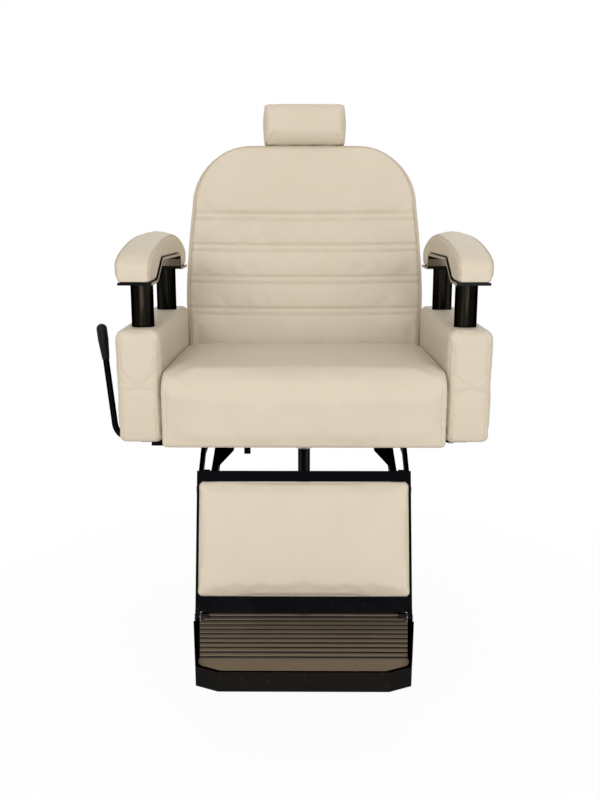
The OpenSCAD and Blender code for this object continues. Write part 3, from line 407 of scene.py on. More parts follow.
def leatherMaterial(name, low, high, seed):
    material, nodes, link, shader, place = newMaterial(name)
    grain = addNode(nodes, "ShaderNodeGroup", {"Cell Scale": cream["cell"], "Seed": seed},
                    node_tree=groups["grain"])
    link(place.outputs["Object"], grain.inputs["Vector"])
    body = mixColor(nodes, link, grain.outputs["Soil"], low, high)
    valley = rangeOf(nodes, link, grain.outputs["Shade"], 1.0, 0.94, 0.0, 0.6)
    shade = addNode(nodes, "ShaderNodeMix", data_type="RGBA", blend_type="MULTIPLY")
    shade.inputs["Factor"].default_value = 1.0
    link(body.outputs["Result"], shade.inputs["A"])
    link(valley, shade.inputs["B"])
    link(shade.outputs["Result"], shader.inputs["Base Color"])
    link(rangeOf(nodes, link, grain.outputs["Soil"], cream["roughLow"], cream["roughHigh"], 0.3, 0.7),
         shader.inputs["Roughness"])
    addBump(nodes, link, shader, grain.outputs["Height"], cream["bump"], cream["grain"])
    shader.inputs["Specular IOR Level"].default_value = cream["shine"]
    return material


def threadMaterial():
    material, nodes, link, shader, place = newMaterial("seamThread")
    twist = addNode(nodes, "ShaderNodeTexWave", {"Scale": 900.0})
    tone = mixColor(nodes, link, twist.outputs["Fac"], (0.46, 0.37, 0.25), (0.58, 0.48, 0.35))
    wire(link, (place, "Object", twist, "Vector"), (tone, "Result", shader, "Base Color"))
    shader.inputs["Roughness"].default_value = 0.7
    return material


# Painted reflection of the cream leg pad, in brown, where the footplate shows it: its deck in front of the ribs
# and between them, and the tops of the ribs
deckReflectionPlace = {"floorTop": -0.0195, "ribFrom": -0.0181, "ribTo": -0.0174, "ribLimit": -0.0165,
             "ribFront": -0.4475, "ribTaper": -0.1084, "ribHalf": 0.2224, "levelFrom": 0.80, "levelTo": 0.97,
             "metallic": 0.35}


def deckReflectionMask(nodes, link, place):
    facing, where = nodes.new("ShaderNodeSeparateXYZ"), nodes.new("ShaderNodeSeparateXYZ")
    wire(link, (place, "Normal", facing, 0), (place, "Object", where, 0))
    x, y, z = (where.outputs[axis] for axis in "XYZ")
    d = deckReflectionPlace
    level = rangeOf(nodes, link, facing.outputs["Z"], 0.0, 1.0, d["levelFrom"], d["levelTo"])
    high = rangeOf(nodes, link, z, 0.0, 1.0, d["ribFrom"], d["ribTo"])
    across = combined(nodes, link, "ADD", sized(nodes, link, x),
                      compared(nodes, link, y, "MULTIPLY", d["ribTaper"]))
    within = compared(nodes, link, across, "LESS_THAN", d["ribHalf"])
    behind = compared(nodes, link, y, "GREATER_THAN", d["ribFront"])
    ahead = compared(nodes, link, y, "LESS_THAN", d["ribFront"])
    below = compared(nodes, link, z, "LESS_THAN", d["ribLimit"])
    low = compared(nodes, link, z, "LESS_THAN", d["floorTop"])
    ribs = combined(nodes, link, "MULTIPLY", combined(nodes, link, "MULTIPLY", within, behind),
                    combined(nodes, link, "MULTIPLY", high, below))
    floor = combined(nodes, link, "MULTIPLY", combined(nodes, link, "MAXIMUM", within, ahead),
                     combined(nodes, link, "MULTIPLY", level, low))
    return combined(nodes, link, "MAXIMUM", floor, ribs)


# The upright faces of a strip, but for those across its ends: there a painted reflection of the cream boxes is
# laid on the arm plates' edges
def sideReflectionMask(nodes, link, place):
    facing = nodes.new("ShaderNodeSeparateXYZ")
    link(place.outputs["Normal"], facing.inputs[0])
    ahead, over = (sized(nodes, link, facing.outputs[axis]) for axis in "YZ")
    return combined(nodes, link, "MULTIPLY", rangeOf(nodes, link, ahead, 1.0, 0.0, 0.985, 0.995),
                    rangeOf(nodes, link, over, 1.0, 0.0, 0.3, 0.5))


# Painted reflection: brown bands along the tubes, standing in for the room mirrored in the black plating
def reflectionStreakMask(nodes, link, place):
    drawn = addNode(nodes, "ShaderNodeMapping", {"Scale": (105.0, 105.0, 4.0)})
    bands = addNode(nodes, "ShaderNodeTexNoise", {"Scale": 1.0, "Detail": 1.5})
    wire(link, (place, "Object", drawn, "Vector"), (drawn, "Vector", bands, "Vector"))
    return rangeOf(nodes, link, bands.outputs["Fac"], 0.0, 1.0, 0.5, 0.68)


# A plating that is darker seen edge-on has an edge tint. Streak, deck and sides are painted reflections laid over
# its colour: brown streaks of the room along tubes, the cream leg pad in the footplate's deck, the cream boxes in
# the arm plates' edges.
def metalMaterial(name, color, roughLow, roughHigh, scratch, bump=0.02, edge=None, streakReflection=None, deck=None,
                  sideReflection=None):
    material, nodes, link, shader, place = newMaterial(name)
    wear = addNode(nodes, "ShaderNodeGroup", node_tree=groups["wear"])
    link(place.outputs["Object"], wear.inputs["Vector"])
    bright = tuple(min(1.0, c * 1.6 + scratch) for c in color)
    result = mixColor(nodes, link, wear.outputs["Scratch"], color, bright).outputs["Result"]
    shader.inputs["Metallic"].default_value = 1.0
    for overlaid, mask in ((streakReflection, reflectionStreakMask), (deck, deckReflectionMask), (sideReflection, sideReflectionMask)):
        if overlaid:
            shown = mask(nodes, link, place)
            result = overlay(nodes, link, result, shown, overlaid)
            if mask == deckReflectionMask:
                link(rangeOf(nodes, link, shown, 1.0, deckReflectionPlace["metallic"]), shader.inputs["Metallic"])
    link(result, shader.inputs["Base Color"])
    link(rangeOf(nodes, link, wear.outputs["Smudge"], roughLow, roughHigh, 0.35, 0.65),
         shader.inputs["Roughness"])
    if edge:
        shader.inputs["Specular Tint"].default_value = (*edge, 1)
    addBump(nodes, link, shader, wear.outputs["Height"], bump, 0.0003)
    return material


def plasticMaterial(name, color, rough, texture, strength, gloss=0.4):
    material, nodes, link, shader, place = newMaterial(name)
    noise = addNode(nodes, "ShaderNodeTexNoise", {"Scale": texture, "Detail": 3.0})
    tone = mixColor(nodes, link, noise.outputs["Fac"], color, tuple(c * 1.5 + 0.004 for c in color))
    wire(link, (place, "Object", noise, "Vector"), (tone, "Result", shader, "Base Color"))
    link(rangeOf(nodes, link, noise.outputs["Fac"], rough - 0.06, rough + 0.06, 0.3, 0.7),
         shader.inputs["Roughness"])
    shader.inputs["Specular IOR Level"].default_value = gloss
    addBump(nodes, link, shader, noise.outputs["Fac"], strength, 0.0003)
    return material


def plywoodMaterial():
    material, nodes, link, shader, place = newMaterial("birchPlywood")
    layers = addNode(nodes, "ShaderNodeTexWave", {"Scale": 55.0, "Distortion": 1.2}, bands_direction="Z")
    fibres = addNode(nodes, "ShaderNodeTexNoise", {"Scale": 60.0, "Detail": 8.0})
    stretch = addNode(nodes, "ShaderNodeMapping", {"Scale": (1.0, 0.08, 1.0)})
    wire(link, (place, "Object", layers, "Vector"), (place, "Object", stretch, "Vector"),
         (stretch, "Vector", fibres, "Vector"))
    mixed = combined(nodes, link, "MULTIPLY", layers.outputs["Fac"], fibres.outputs["Fac"])
    tone = mixColor(nodes, link, mixed, (0.55, 0.38, 0.21), (0.76, 0.6, 0.4))
    link(tone.outputs["Result"], shader.inputs["Base Color"])
    shader.inputs["Roughness"].default_value = 0.6
    return material


blackEdge = (0.10, 0.09, 0.08)
materials = {
    "upholstery": leatherMaterial("creamLeather", cream["low"], cream["high"], 0.0),
    "welt": leatherMaterial("creamWelt", (0.52, 0.44, 0.33), (0.60, 0.52, 0.41), 3.0),
    "thread": threadMaterial(),
    # blackNickel: painted reflection in brown streaks along its tubes
    "polished_black": metalMaterial("blackNickel", (0.005, 0.0045, 0.004), 0.06, 0.16, scratch=0.006,
                                    bump=0.012, edge=blackEdge, streakReflection=(0.020, 0.017, 0.012)),
    "bars": metalMaterial("nickelBars", (0.004, 0.0042, 0.005), 0.08, 0.16, scratch=0.004, bump=0.012,
                          edge=blackEdge),
    # nickelPlate: painted reflection of the cream boxes on its side faces
    "plate": metalMaterial("nickelPlate", (0.006, 0.006, 0.006), 0.08, 0.16, scratch=0.006, bump=0.012,
                           sideReflection=(0.20, 0.17, 0.13)),
    # nickelDeck: painted reflection of the cream leg pad on its deck, where it is also less metallic
    "deck": metalMaterial("nickelDeck", (0.012, 0.011, 0.010), 0.14, 0.26, scratch=0.01, bump=0.012,
                          edge=blackEdge, deck=(0.170, 0.135, 0.098)),
    "black_paint": metalMaterial("blackEnamel", (0.004, 0.004, 0.004), 0.3, 0.45, scratch=0.004,
                                 edge=blackEdge),
    "steel": metalMaterial("zincSteel", (0.42, 0.42, 0.43), 0.28, 0.45, scratch=0.1),
    # ramSteel: painted reflection in grey streaks along the ram
    "ram": metalMaterial("ramSteel", (0.008, 0.008, 0.008), 0.14, 0.28, scratch=0.01, edge=blackEdge,
                         streakReflection=(0.022, 0.022, 0.022)),
    "washer": metalMaterial("bearingBronze", (0.5, 0.32, 0.14), 0.3, 0.45, scratch=0.08),
    "shell": plasticMaterial("shellPlastic", (0.018, 0.017, 0.016), 0.42, 700.0, 0.12),
    "grip": plasticMaterial("gripPlastic", (0.001, 0.001, 0.001), 0.36, 420.0, 0.06, 0.15),
    "plywood": plywoodMaterial(),
}


def setMaterial(piece, name):
    piece.data.materials.clear()
    piece.data.materials.append(materials[name])


slotOf = {part["node"]: part["material_slot"] for part in frame["record"]["subparts"]}
for nodeName, nodeObject in frame["nodes"].items():
    finish = {"lift_ram": "ram", "footplate": "deck", "leg_frame": "bars", "arm_plate_left": "plate",
              "arm_plate_right": "plate"}.get(nodeName, slotOf[nodeName])
    setMaterial(nodeObject, finish)
print("materials ready")


# The upholstery: every pad is a grid of slices with ringed ends, so that its seams follow the grid

def capRings(loop, bulge, outward):
    center = sum(loop, Vector()) / len(loop)
    return [[center + (p - center) * share + outward * bulge * (1 - share * share) for p in loop]
            for share in (0.88, 0.72, 0.54, 0.34, 0.14)]


def makePad(name, loops, bulge):
    first = sum(loops[0], Vector()) / len(loops[0])
    last = sum(loops[-1], Vector()) / len(loops[-1])
    along = (last - first).normalized()
    front = capRings(loops[0], bulge, -along)
    return makeGrid(name, list(reversed(front)) + loops + capRings(loops[-1], bulge, along))


def subdivide(piece):
    modifier = piece.modifiers.new("Smooth", "SUBSURF")
    modifier.levels = modifier.render_levels = 1
    depsgraph = bpy.context.evaluated_depsgraph_get()
    smooth = bpy.data.meshes.new_from_object(piece.evaluated_get(depsgraph))
    piece.modifiers.remove(modifier)
    old, name = piece.data, piece.data.name
    piece.data = smooth
    bpy.data.meshes.remove(old)
    smooth.name = name


def skinTree(piece):
    work = bmesh.new()
    work.from_mesh(piece.data)
    tree = BVHTree.FromBMesh(work)
    work.free()
    return tree


# Where lines that start at the points and run in a direction meet the skin
def onSkin(tree, starts, direction, lift=0.0):
    path = []
    for start in starts:
        hit = tree.ray_cast(start, direction)[0]
        if hit is not None:
            path.append(hit - direction * lift)
    return path


def alongPath(path):
    places, total = [0.0], 0.0
    for before, after in zip(path, path[1:]):
        total += (after - before).length
        places.append(total)
    return places


# Draws the skin in along sewn paths, with tucks that fade out beside them
def pressSeams(piece, paths, depth, reach, tuck, tuckReach, pitch):
    marks = [(p, place) for path in paths for p, place in zip(path, alongPath(path))]
    tree = KDTree(len(marks))
    for i, (p, _) in enumerate(marks):
        tree.insert(p, i)
    tree.balance()
    wide = max(reach, tuckReach)
    moves = []
    for v in piece.data.vertices:
        _, index, distance = tree.find(v.co)
        if distance >= wide:
            continue
        place = marks[index][1]
        move = 0.0
        if distance < reach:
            move -= depth * (1 - (distance / reach) ** 2) ** 2
        if distance < tuckReach:
            wave = math.sin(2 * math.pi * place / pitch + 1.7 * math.sin(place * 41.0))
            near = distance / tuckReach
            move += tuck * wave * near * (1 - near) * 4 * (0.6 + 0.4 * math.sin(place * 23.0))
        moves.append((v.index, v.normal * move))
    for index, move in moves:
        piece.data.vertices[index].co += move
    piece.data.update()


def padPiece(piece, body, nodeName):
    setMaterial(piece, "upholstery")
    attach(piece, body)
    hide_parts(nodeName)


weltSpacing = 0.004
stitch = {"pitch": 0.0052, "length": 0.0034, "thick": 0.0003, "thin": 0.0002}
ahead, down = Vector((0, 1, 0)), Vector((0, 0, -1))


def addWelts(name, paths, body, radius):
    followPaths(name, paths, "welt",
                {"Radius": radius, "Spacing": weltSpacing, "Finish": materials["welt"]}, body)


def addStitches(name, paths, body, thread=stitch["thin"]):
    followPaths(name, paths, "stitches", {"Pitch": stitch["pitch"], "Length": stitch["length"],
                                          "Thread": thread, "Finish": materials["thread"]}, body)


def spaced(start, end, step):
    count = max(2, math.ceil(abs(end - start) / step))
    return [start + (end - start) * i / count for i in range(count + 1)]


# Seat cushion: slices run front to back, so the front panel is part of the same smooth skin
seat = {"width": 0.518, "depth": 0.440, "front": -0.232, "low": 0.2863, "top": 0.426, "fall": 0.0195,
        "crown": 0.007, "edge": 0.034, "sideEdge": 0.0095, "weltIn": 0.0095, "bulge": 0.001,
        "middles": 44, "swell": 0.005, "lip": 0.0022, "drawn": 0.0015, "lowEdge": 0.010, "heldLow": 0.016,
        "heldEdge": 0.004, "seamLow": 0.008, "seamHigh": 0.408, "seamFront": 0.018, "seamRear": 0.196,
        "step": 0.004, "press": (0.0009, 0.005, 0.0003, 0.018, 0.017)}


def seatPoint(x, u, v):
    t = (u + seat["depth"] / 2) / seat["depth"]
    rise = (v - seat["low"]) / (seat["top"] - seat["low"])
    lip = seat["lip"] * max(0.0, 1 - 8 * t) * max(0.0, 1 - 3 * rise)
    return Vector((x, seat["front"] + seat["depth"] / 2 + u, v - seat["fall"] * t * max(0.0, rise) - lip))


def makeSeat():
    loops = []
    for place, inset in padStations(seat["width"], seat["sideEdge"], seat["middles"]):
        x = place - seat["width"] / 2
        crown = seat["crown"] * max(0.0, 1 - (2 * x / seat["width"]) ** 2) ** 0.7
        outline = padSlice(seat["depth"] / 2 - inset * 0.7, seat["low"] + inset / 3, seat["top"] - inset,
                           seat["edge"], crown, seat["drawn"], topSteps=44, sideSteps=12, bottomSteps=20,
                           lowRadius=seat["lowEdge"])
        loops.append([seatPoint(x, u, v) for u, v in outline])
    pad = makePad("seatPad", loops, seat["bulge"])
    edge = seat["width"] / 2 - seat["weltIn"]
    inflate(pad, lambda i: pad.data.vertices[i].co.z < seat["low"] + seat["heldLow"]
            or abs(pad.data.vertices[i].co.x) > edge - seat["heldEdge"], seat["swell"])
    subdivide(pad)
    skin = skinTree(pad)
    paths = []
    for side in (-1, 1):
        x = side * edge
        heights = spaced(seat["low"] + seat["seamLow"], seat["seamHigh"], seat["step"])
        ways = spaced(seat["front"] + seat["seamFront"], seat["seamRear"], seat["step"])
        paths.append(onSkin(skin, [Vector((x, -0.5, z)) for z in heights], ahead)
                     + onSkin(skin, [Vector((x, y, 0.6)) for y in ways], down))
    pressSeams(pad, paths, *seat["press"])
    padPiece(pad, "chassis", "seat_cushion")
    addStitches("seatSeams", paths, "chassis")


makeSeat()
print("seat ready")


# Side boxes: a padded cover with a stitched seam just inside each edge of its front and top
sideBox = {"inner": 0.261, "width": 0.080, "front": -0.215, "length": 0.447, "low": 0.290, "top": 0.5,
           "fall": 0.012, "edge": 0.015, "endEdge": 0.015, "rearEdge": 0.3, "lowEdge": 0.012, "bulge": 0.001,
           "crown": 0.001, "seamIn": 0.0095, "swell": 0.0015, "postX": 0.298, "postY": (-0.156, 0.153),
           "postKeep": 0.032, "middles": 34, "drawn": 0.0008, "pressure": 3.0, "held": 0.012,
           "heldSeam": 0.003, "seamHeights": (0.299, 0.485), "seamWays": (-0.203, 0.222), "step": 0.004,
           "press": (0.0008, 0.0045, 0.0002, 0.012, 0.015)}


def makeSideBox(side, label):
    g = sideBox
    centre = side * (g["inner"] + g["width"] / 2)
    loops = []
    for place, inset in padStations(g["length"], g["endEdge"], g["middles"], 6):
        if place > g["length"] - g["endEdge"]:
            place, inset = g["length"] - (g["length"] - place) * g["rearEdge"], inset * g["rearEdge"]
        share = swell(place / g["length"])
        top = g["top"] - g["fall"] * place / g["length"]
        outline = padSlice(g["width"] / 2 - inset * 0.6, g["low"] + inset * 0.6, top - inset, g["edge"],
                           g["crown"] * share, g["drawn"] * share, topSteps=12, sideSteps=22, bottomSteps=12,
                           lowRadius=g["lowEdge"])
        loops.append([Vector((centre + u, g["front"] + place, v)) for u, v in outline])
    pad = makePad("boxPad" + label, loops, g["bulge"])

    def held(i):
        co = pad.data.vertices[i].co
        top = g["top"] - g["fall"] * (co.y - g["front"]) / g["length"] - g["held"]
        onSeam = abs(abs(co.x - centre) - g["width"] / 2 + g["seamIn"]) < g["heldSeam"]
        if co.z < g["low"] + g["held"] or onSeam and (co.z > top or co.y < g["front"] + g["held"]):
            return True
        return co.z > top and any(math.hypot(co.x - side * g["postX"], co.y - y) < g["postKeep"]
                                  for y in g["postY"])

    inflate(pad, held, g["swell"], g["pressure"])
    subdivide(pad)
    skin = skinTree(pad)
    paths = []
    for offset in (-1, 1):
        x = centre + offset * (g["width"] / 2 - g["seamIn"])
        heights, ways = spaced(*g["seamHeights"], g["step"]), spaced(*g["seamWays"], g["step"])
        paths.append(onSkin(skin, [Vector((x, -0.5, z)) for z in heights], ahead)
                     + onSkin(skin, [Vector((x, y, 0.6)) for y in ways], down))
    pressSeams(pad, paths, *g["press"])
    padPiece(pad, "chassis", "side_pad_" + label.lower())
    addStitches("boxSeams" + label, paths, "chassis")


for side, label in ((1, "Left"), (-1, "Right")):
    makeSideBox(side, label)
print("side boxes ready")


# Arm pads: one strip over the arch and down to both ends, side panels sewn to it
arm = {"centreX": 0.2985, "turnX": 0.298, "middleY": -0.005, "half": 0.203, "width": 0.066, "toe": 2.2,
       "floor": 0.584, "body": 0.0738, "endRadius": 0.012, "edge": 0.008, "crown": 0.004,
       "seamIn": 0.003, "swell": 0.002, "tuckOut": 0.17, "tuckIn": 0.07, "tuckHeight": 0.027,
       "overPlate": 0.0053, "lowEdge": 0.004, "bulge": 0.001, "corner": 0.07, "step": 0.0055,
       "heldLow": 0.009, "heldEnd": 0.006, "heldSeam": 0.003, "seamAbove": 0.012,
       "seamHeights": (0.596, 0.611), "welt": 0.0008,
       "press": (0.0010, 0.0045, 0.0003, 0.012, 0.013),
       "plate": ((-0.22, 0.579), (-0.1532, 0.579), (-0.1452, 0.5804), (-0.1384, 0.5832), (-0.0933, 0.6108),
                 (-0.0865, 0.6140), (-0.0785, 0.6147), (0.1024, 0.6092), (0.1100, 0.6068), (0.1120, 0.6012),
                 (0.1149, 0.5868), (0.1172, 0.5802), (0.1245, 0.579), (0.22, 0.579)),
       "top": ((-1.0, 0.42), (-0.97, 0.54), (-0.83, 0.69), (-0.57, 0.838), (-0.34, 0.928), (-0.03, 0.995),
               (0.15, 1.0), (0.29, 0.985), (0.55, 0.866), (0.83, 0.65), (0.94, 0.48), (1.0, 0.30))}


def lineAt(points, place):
    if place <= points[0][0]:
        return points[0][1]
    for (a, low), (b, high) in zip(points, points[1:]):
        if place <= b:
            return low + (high - low) * (place - a) / (b - a)
    return points[-1][1]


# The same line with its corners rounded off over a length
def softLineAt(points, place, reach):
    steps = 8
    places = [place + reach * (2 * i / steps - 1) for i in range(steps + 1)]
    return sum(lineAt(points, p) for p in places) / len(places)


def onArm(side, x, y, z):
    turn = math.radians(arm["toe"])
    across, along = x - arm["turnX"], y - arm["middleY"]
    return Vector((side * (arm["turnX"] + across * math.cos(turn) - along * math.sin(turn)),
                   arm["middleY"] + across * math.sin(turn) + along * math.cos(turn), z))


def makeArmPad(side, label):
    g = arm
    ends = [g["half"] - g["endRadius"] * (1 - math.cos(math.radians(15 * i))) for i in range(7)]
    flat = spaced(-ends[-1], ends[-1], g["step"])[1:-1]
    stations = sorted([-e for e in ends] + flat + ends)
    loops = []
    for d in stations:
        into = max(0.0, abs(d) - g["half"] + g["endRadius"]) / g["endRadius"]
        inset = g["endRadius"] * (1 - math.sqrt(max(0.0, 1 - into * into)))
        low = lineAt(g["plate"], g["middleY"] + d) + g["overPlate"] + inset * 0.2
        high = g["floor"] + g["body"] * softLineAt(g["top"], d / g["half"], g["corner"]) - inset
        outline = padSlice(g["width"] / 2 - inset * 0.7, low, high, g["edge"],
                           g["crown"] * (1 - (d / g["half"]) ** 4), 0.0, topSteps=14, sideSteps=10,
                           bottomSteps=10, lowRadius=g["lowEdge"])
        drawn = [(u * (1 - (g["tuckOut"] if u > 0 else g["tuckIn"])
                       * max(0.0, 1 - (v - low) / g["tuckHeight"]) ** 2), v) for u, v in outline]
        loops.append([onArm(side, g["centreX"] + u, g["middleY"] + d, v) for u, v in drawn])
    pad = makePad("armPad" + label, loops, g["bulge"])
    home = Vector((side * g["turnX"], g["middleY"], 0))
    alongAxis = onArm(side, 0, 1, 0) - onArm(side, 0, 0, 0)
    outAxis = onArm(side, 1, 0, 0) - onArm(side, 0, 0, 0)

    def held(i):
        away = pad.data.vertices[i].co - home
        d, across = away.dot(alongAxis), away.dot(outAxis) - g["centreX"] + g["turnX"]
        low = lineAt(g["plate"], g["middleY"] + d) + g["heldLow"]
        onSeam = abs(abs(across) - g["width"] / 2 + g["seamIn"]) < g["heldSeam"]
        return away.z < low or abs(d) > g["half"] - g["heldEnd"] or onSeam and away.z > low + g["seamAbove"]

    inflate(pad, held, g["swell"])
    subdivide(pad)
    skin = skinTree(pad)
    paths = []
    for offset in (-1, 1):
        x = g["centreX"] + offset * (g["width"] / 2 - g["seamIn"])
        heights = spaced(*g["seamHeights"], 0.004)
        face = onSkin(skin, [onArm(side, x, -0.5, z) for z in heights], alongAxis)
        ways = spaced(g["middleY"] - g["half"] + 0.004, g["middleY"] + g["half"] - 0.003, 0.003)
        paths.append(face + onSkin(skin, [onArm(side, x, y, 0.8) for y in ways], down))
    pressSeams(pad, paths, *g["press"])
    padPiece(pad, "chassis", "arm_pad_" + label.lower())
    addWelts("armSeams" + label, paths, "chassis", g["welt"])


for side, label in ((1, "Left"), (-1, "Right")):
    makeArmPad(side, label)
print("arm rests ready")


# Backrest: puffed channels between pairs of sewn seams, a welt just inside its outline
backrest = {"height": 0.447, "width": 0.534, "rootWidth": 0.5245, "neckWidth": 0.507, "swellAt": 0.110,
            "neckAt": 0.312, "shoulder": 0.136, "tail": 0.030, "foam": 0.045, "crown": 0.008, "edge": 0.015,
            "seamLow": 0.075, "seamStep": 0.071, "seamPair": 0.015, "seamDepth": 0.0024, "seamReach": 0.0056,
            "sag": 0.0045, "weltIn": 0.0075, "weltTop": 0.002, "swell": 0.003, "endTurn": 0.022, "rows": 74,
            "lowTurn": 0.016, "drawn": 0.001, "lowEdge": 0.004, "heldRear": 0.012, "heldSeam": 0.0028,
            "heldEdge": 0.004, "heldTop": 0.014, "pressure": 4.5, "welt": 0.0013, "outlineTurns": 24,
            "seamPress": (0.0004, 0.018, 0.016), "edgePress": (0.0014, 0.0055, 0.0004, 0.014, 0.015)}
backSeams = [backrest["seamLow"] + k * backrest["seamStep"] + (j - 0.5) * backrest["seamPair"]
             for k in range(4) for j in (0, 1)]


def backHalf(s):
    b = backrest
    if s < b["swellAt"]:
        grown = smoothStep((s + b["tail"]) / (b["swellAt"] + b["tail"]))
        return (b["rootWidth"] + (b["width"] - b["rootWidth"]) * grown) / 2
    if s < b["neckAt"]:
        t = (s - b["swellAt"]) / (b["neckAt"] - b["swellAt"])
        return (b["width"] + (b["neckWidth"] - b["width"]) * t ** 1.6) / 2
    t = min(1.0, (s - b["neckAt"]) / (b["height"] - b["neckAt"]))
    return b["neckWidth"] / 2 - b["shoulder"] + b["shoulder"] * math.sqrt(max(0.0, 1 - t * t))


def backSag(x, s):
    inside = max(0.0, 1 - (x / (backrest["width"] / 2)) ** 2)
    fade = smoothStep((backrest["height"] - s) / 0.1) * smoothStep((s + backrest["tail"]) / 0.08)
    return -backrest["sag"] * inside * fade


# Heights along the back at which the skin's slices lie
def backStations():
    b = backrest
    low, high = -b["tail"], b["height"]
    rows = [low, low + 0.002, low + 0.006, low + 0.012]
    rows += [low + 0.02 + (b["neckAt"] - low - 0.02) * i / b["rows"] for i in range(b["rows"] + 1)]
    turns = 26
    rows += [b["neckAt"] + (high - b["neckAt"]) * math.sin(math.radians(90 * i / turns))
             for i in range(1, turns + 1)]
    return sorted(set(rows))


# The sewn rows, ending a little inside the welt
def seamRows(tree, direction, inset, lift=0.0):
    rows = []
    for q in backSeams:
        width = backHalf(q) - backrest["weltIn"] - inset
        starts = [onBack(x, -0.1, q + backSag(x, q)) for x in spaced(-width, width, 0.005)]
        rows.append(onSkin(tree, starts, direction, lift))
    return rows


def makeBackrest():
    b = backrest
    loops = []
    for s in backStations():
        up = max(0.0, s - b["height"] + b["endTurn"]) / b["endTurn"]
        below = max(0.0, b["lowTurn"] - b["tail"] - s) / b["lowTurn"]
        pull = b["edge"] * (1 - math.sqrt(max(0.04, 1 - min(1.0, max(up, below)) ** 2)))
        t = min(1.0, 1.1 * (s + b["tail"]) / (b["height"] + b["tail"]))
        crown = b["crown"] * swell(t)
        outline = padSlice(backHalf(s), -b["foam"], -pull, b["edge"], crown, b["drawn"], topSteps=46,
                           sideSteps=6, bottomSteps=24, lowRadius=b["lowEdge"])
        loops.append([onBack(x, -v, s + backSag(x, s)) for x, v in outline])
    pad = makePad("backPad", loops, 0.0)
    normal = onBack(0, -1, 0) - onBack(0, 0, 0)
    upAxis = onBack(0, 0, 1) - onBack(0, 0, 0)
    foot = onBack(0, 0, 0)

    def backPlace(co):
        away = co - foot
        return co.x, -away.dot(normal), away.dot(upAxis)

    def nearSeam(x, s):
        return any(abs(s - q - backSag(x, q)) < b["heldSeam"] for q in backSeams)

    def held(i):
        x, n, s = backPlace(pad.data.vertices[i].co)
        edge = backHalf(s) - b["weltIn"] - b["heldEdge"]
        return n > b["heldRear"] or nearSeam(x, s) or abs(x) > edge or s > b["height"] - b["heldTop"]

    inflate(pad, held, b["swell"], b["pressure"])
    subdivide(pad)
    skin = skinTree(pad)
    seams = seamRows(skin, -normal, 0.002)
    outline = [(backHalf(s) - b["weltIn"], s) for s in spaced(-0.012, b["neckAt"], 0.006)]
    for i in range(1, b["outlineTurns"] + 1):
        a = math.radians(90 * i / b["outlineTurns"])
        inset = b["weltIn"] + (b["weltTop"] - b["weltIn"]) * smoothStep(i / b["outlineTurns"])
        outline.append((b["neckWidth"] / 2 - b["shoulder"] + (b["shoulder"] - inset) * math.cos(a),
                        b["neckAt"] + (b["height"] - inset - b["neckAt"]) * math.sin(a)))
    across = spaced(outline[-1][0], 0.0, 0.006)[1:]
    outline += [(x, b["height"] - b["weltTop"]) for x in across]
    full = outline + [(-x, s) for x, s in reversed(outline[:-1])]
    edgePath = onSkin(skin, [onBack(x, -0.1, s) for x, s in full], -normal)
    pressSeams(pad, seams, b["seamDepth"], b["seamReach"], *b["seamPress"])
    pressSeams(pad, [edgePath], *b["edgePress"])
    padPiece(pad, "back", "back_cushion")
    addWelts("backWelt", [edgePath], "back", b["welt"])
    addStitches("backStitches", seamRows(skinTree(pad), -normal, 0.004, 0.0001), "back", stitch["thick"])


makeBackrest()
print("backrest ready")


# Headrest: a pillow whose end panels are sewn in
headrest = {"width": 0.180, "height": 0.092, "front": 0.008, "rear": 0.050, "low": 0.449, "endRadius": 0.010,
            "edge": 0.026, "crown": 0.003, "seamIn": 0.0045, "swell": 0.003, "middles": 34, "bulge": 0.002,
            "heldRear": 0.006, "heldSeam": 0.003, "aimDeep": 0.022, "ringFrom": -128, "ringTurn": 256,
            "ringSteps": 48, "press": (0.0006, 0.0035, 0.0003, 0.012, 0.013)}


def makeHeadrest():
    h = headrest
    middle = h["low"] + h["height"] / 2
    loops = []
    for place, inset in padStations(h["width"], h["endRadius"], h["middles"]):
        outline = padSlice(h["height"] / 2 - inset * 0.4, inset * 0.3 - h["rear"], h["front"] - inset,
                           h["edge"], h["crown"] * swell(place / h["width"]), 0.0, topSteps=20, sideSteps=10,
                           bottomSteps=14)
        loops.append([onBack(place - h["width"] / 2, -v, middle - u) for u, v in outline])
    pad = makePad("headrestPad", loops, h["bulge"])
    edge = h["width"] / 2 - h["seamIn"]
    normal = onBack(0, -1, 0) - onBack(0, 0, 0)
    foot = onBack(0, 0, 0)

    def held(i):
        co = pad.data.vertices[i].co
        behind = -(co - foot).dot(normal)
        return behind > h["rear"] - h["heldRear"] or abs(abs(co.x) - edge) < h["heldSeam"]

    inflate(pad, held, h["swell"])
    subdivide(pad)
    skin = skinTree(pad)
    paths = []
    for side in (-1, 1):
        ring = []
        for i in range(h["ringSteps"] + 1):
            a = math.radians(h["ringFrom"] + h["ringTurn"] * i / h["ringSteps"])
            out = onBack(side * edge, -0.3 * math.cos(a), middle + 0.3 * math.sin(a))
            aim = onBack(side * edge, h["aimDeep"], middle)
            hit = skin.ray_cast(out, (aim - out).normalized())[0]
            if hit is not None:
                ring.append(hit)
        paths.append(ring)
    pressSeams(pad, paths, *h["press"])
    padPiece(pad, "headrest", "headrest_pad")
    addStitches("headrestSeams", paths, "headrest")


makeHeadrest()
print("headrest ready")


# Leg rest pad: a flat panel with soft edges between the frame's bars
legRest = {"width": 0.396, "length": 0.257, "over": 0.010, "bar": 0.020, "barLow": 0.028, "rail": 0.008,
           "front": 0.027, "thick": 0.017, "crown": 0.005, "edge": 0.009, "swell": 0.003, "middles": 30,
           "gap": 0.0003, "sideGap": 0.001, "drawn": 0.0006, "lowEdge": 0.001, "held": 0.006}


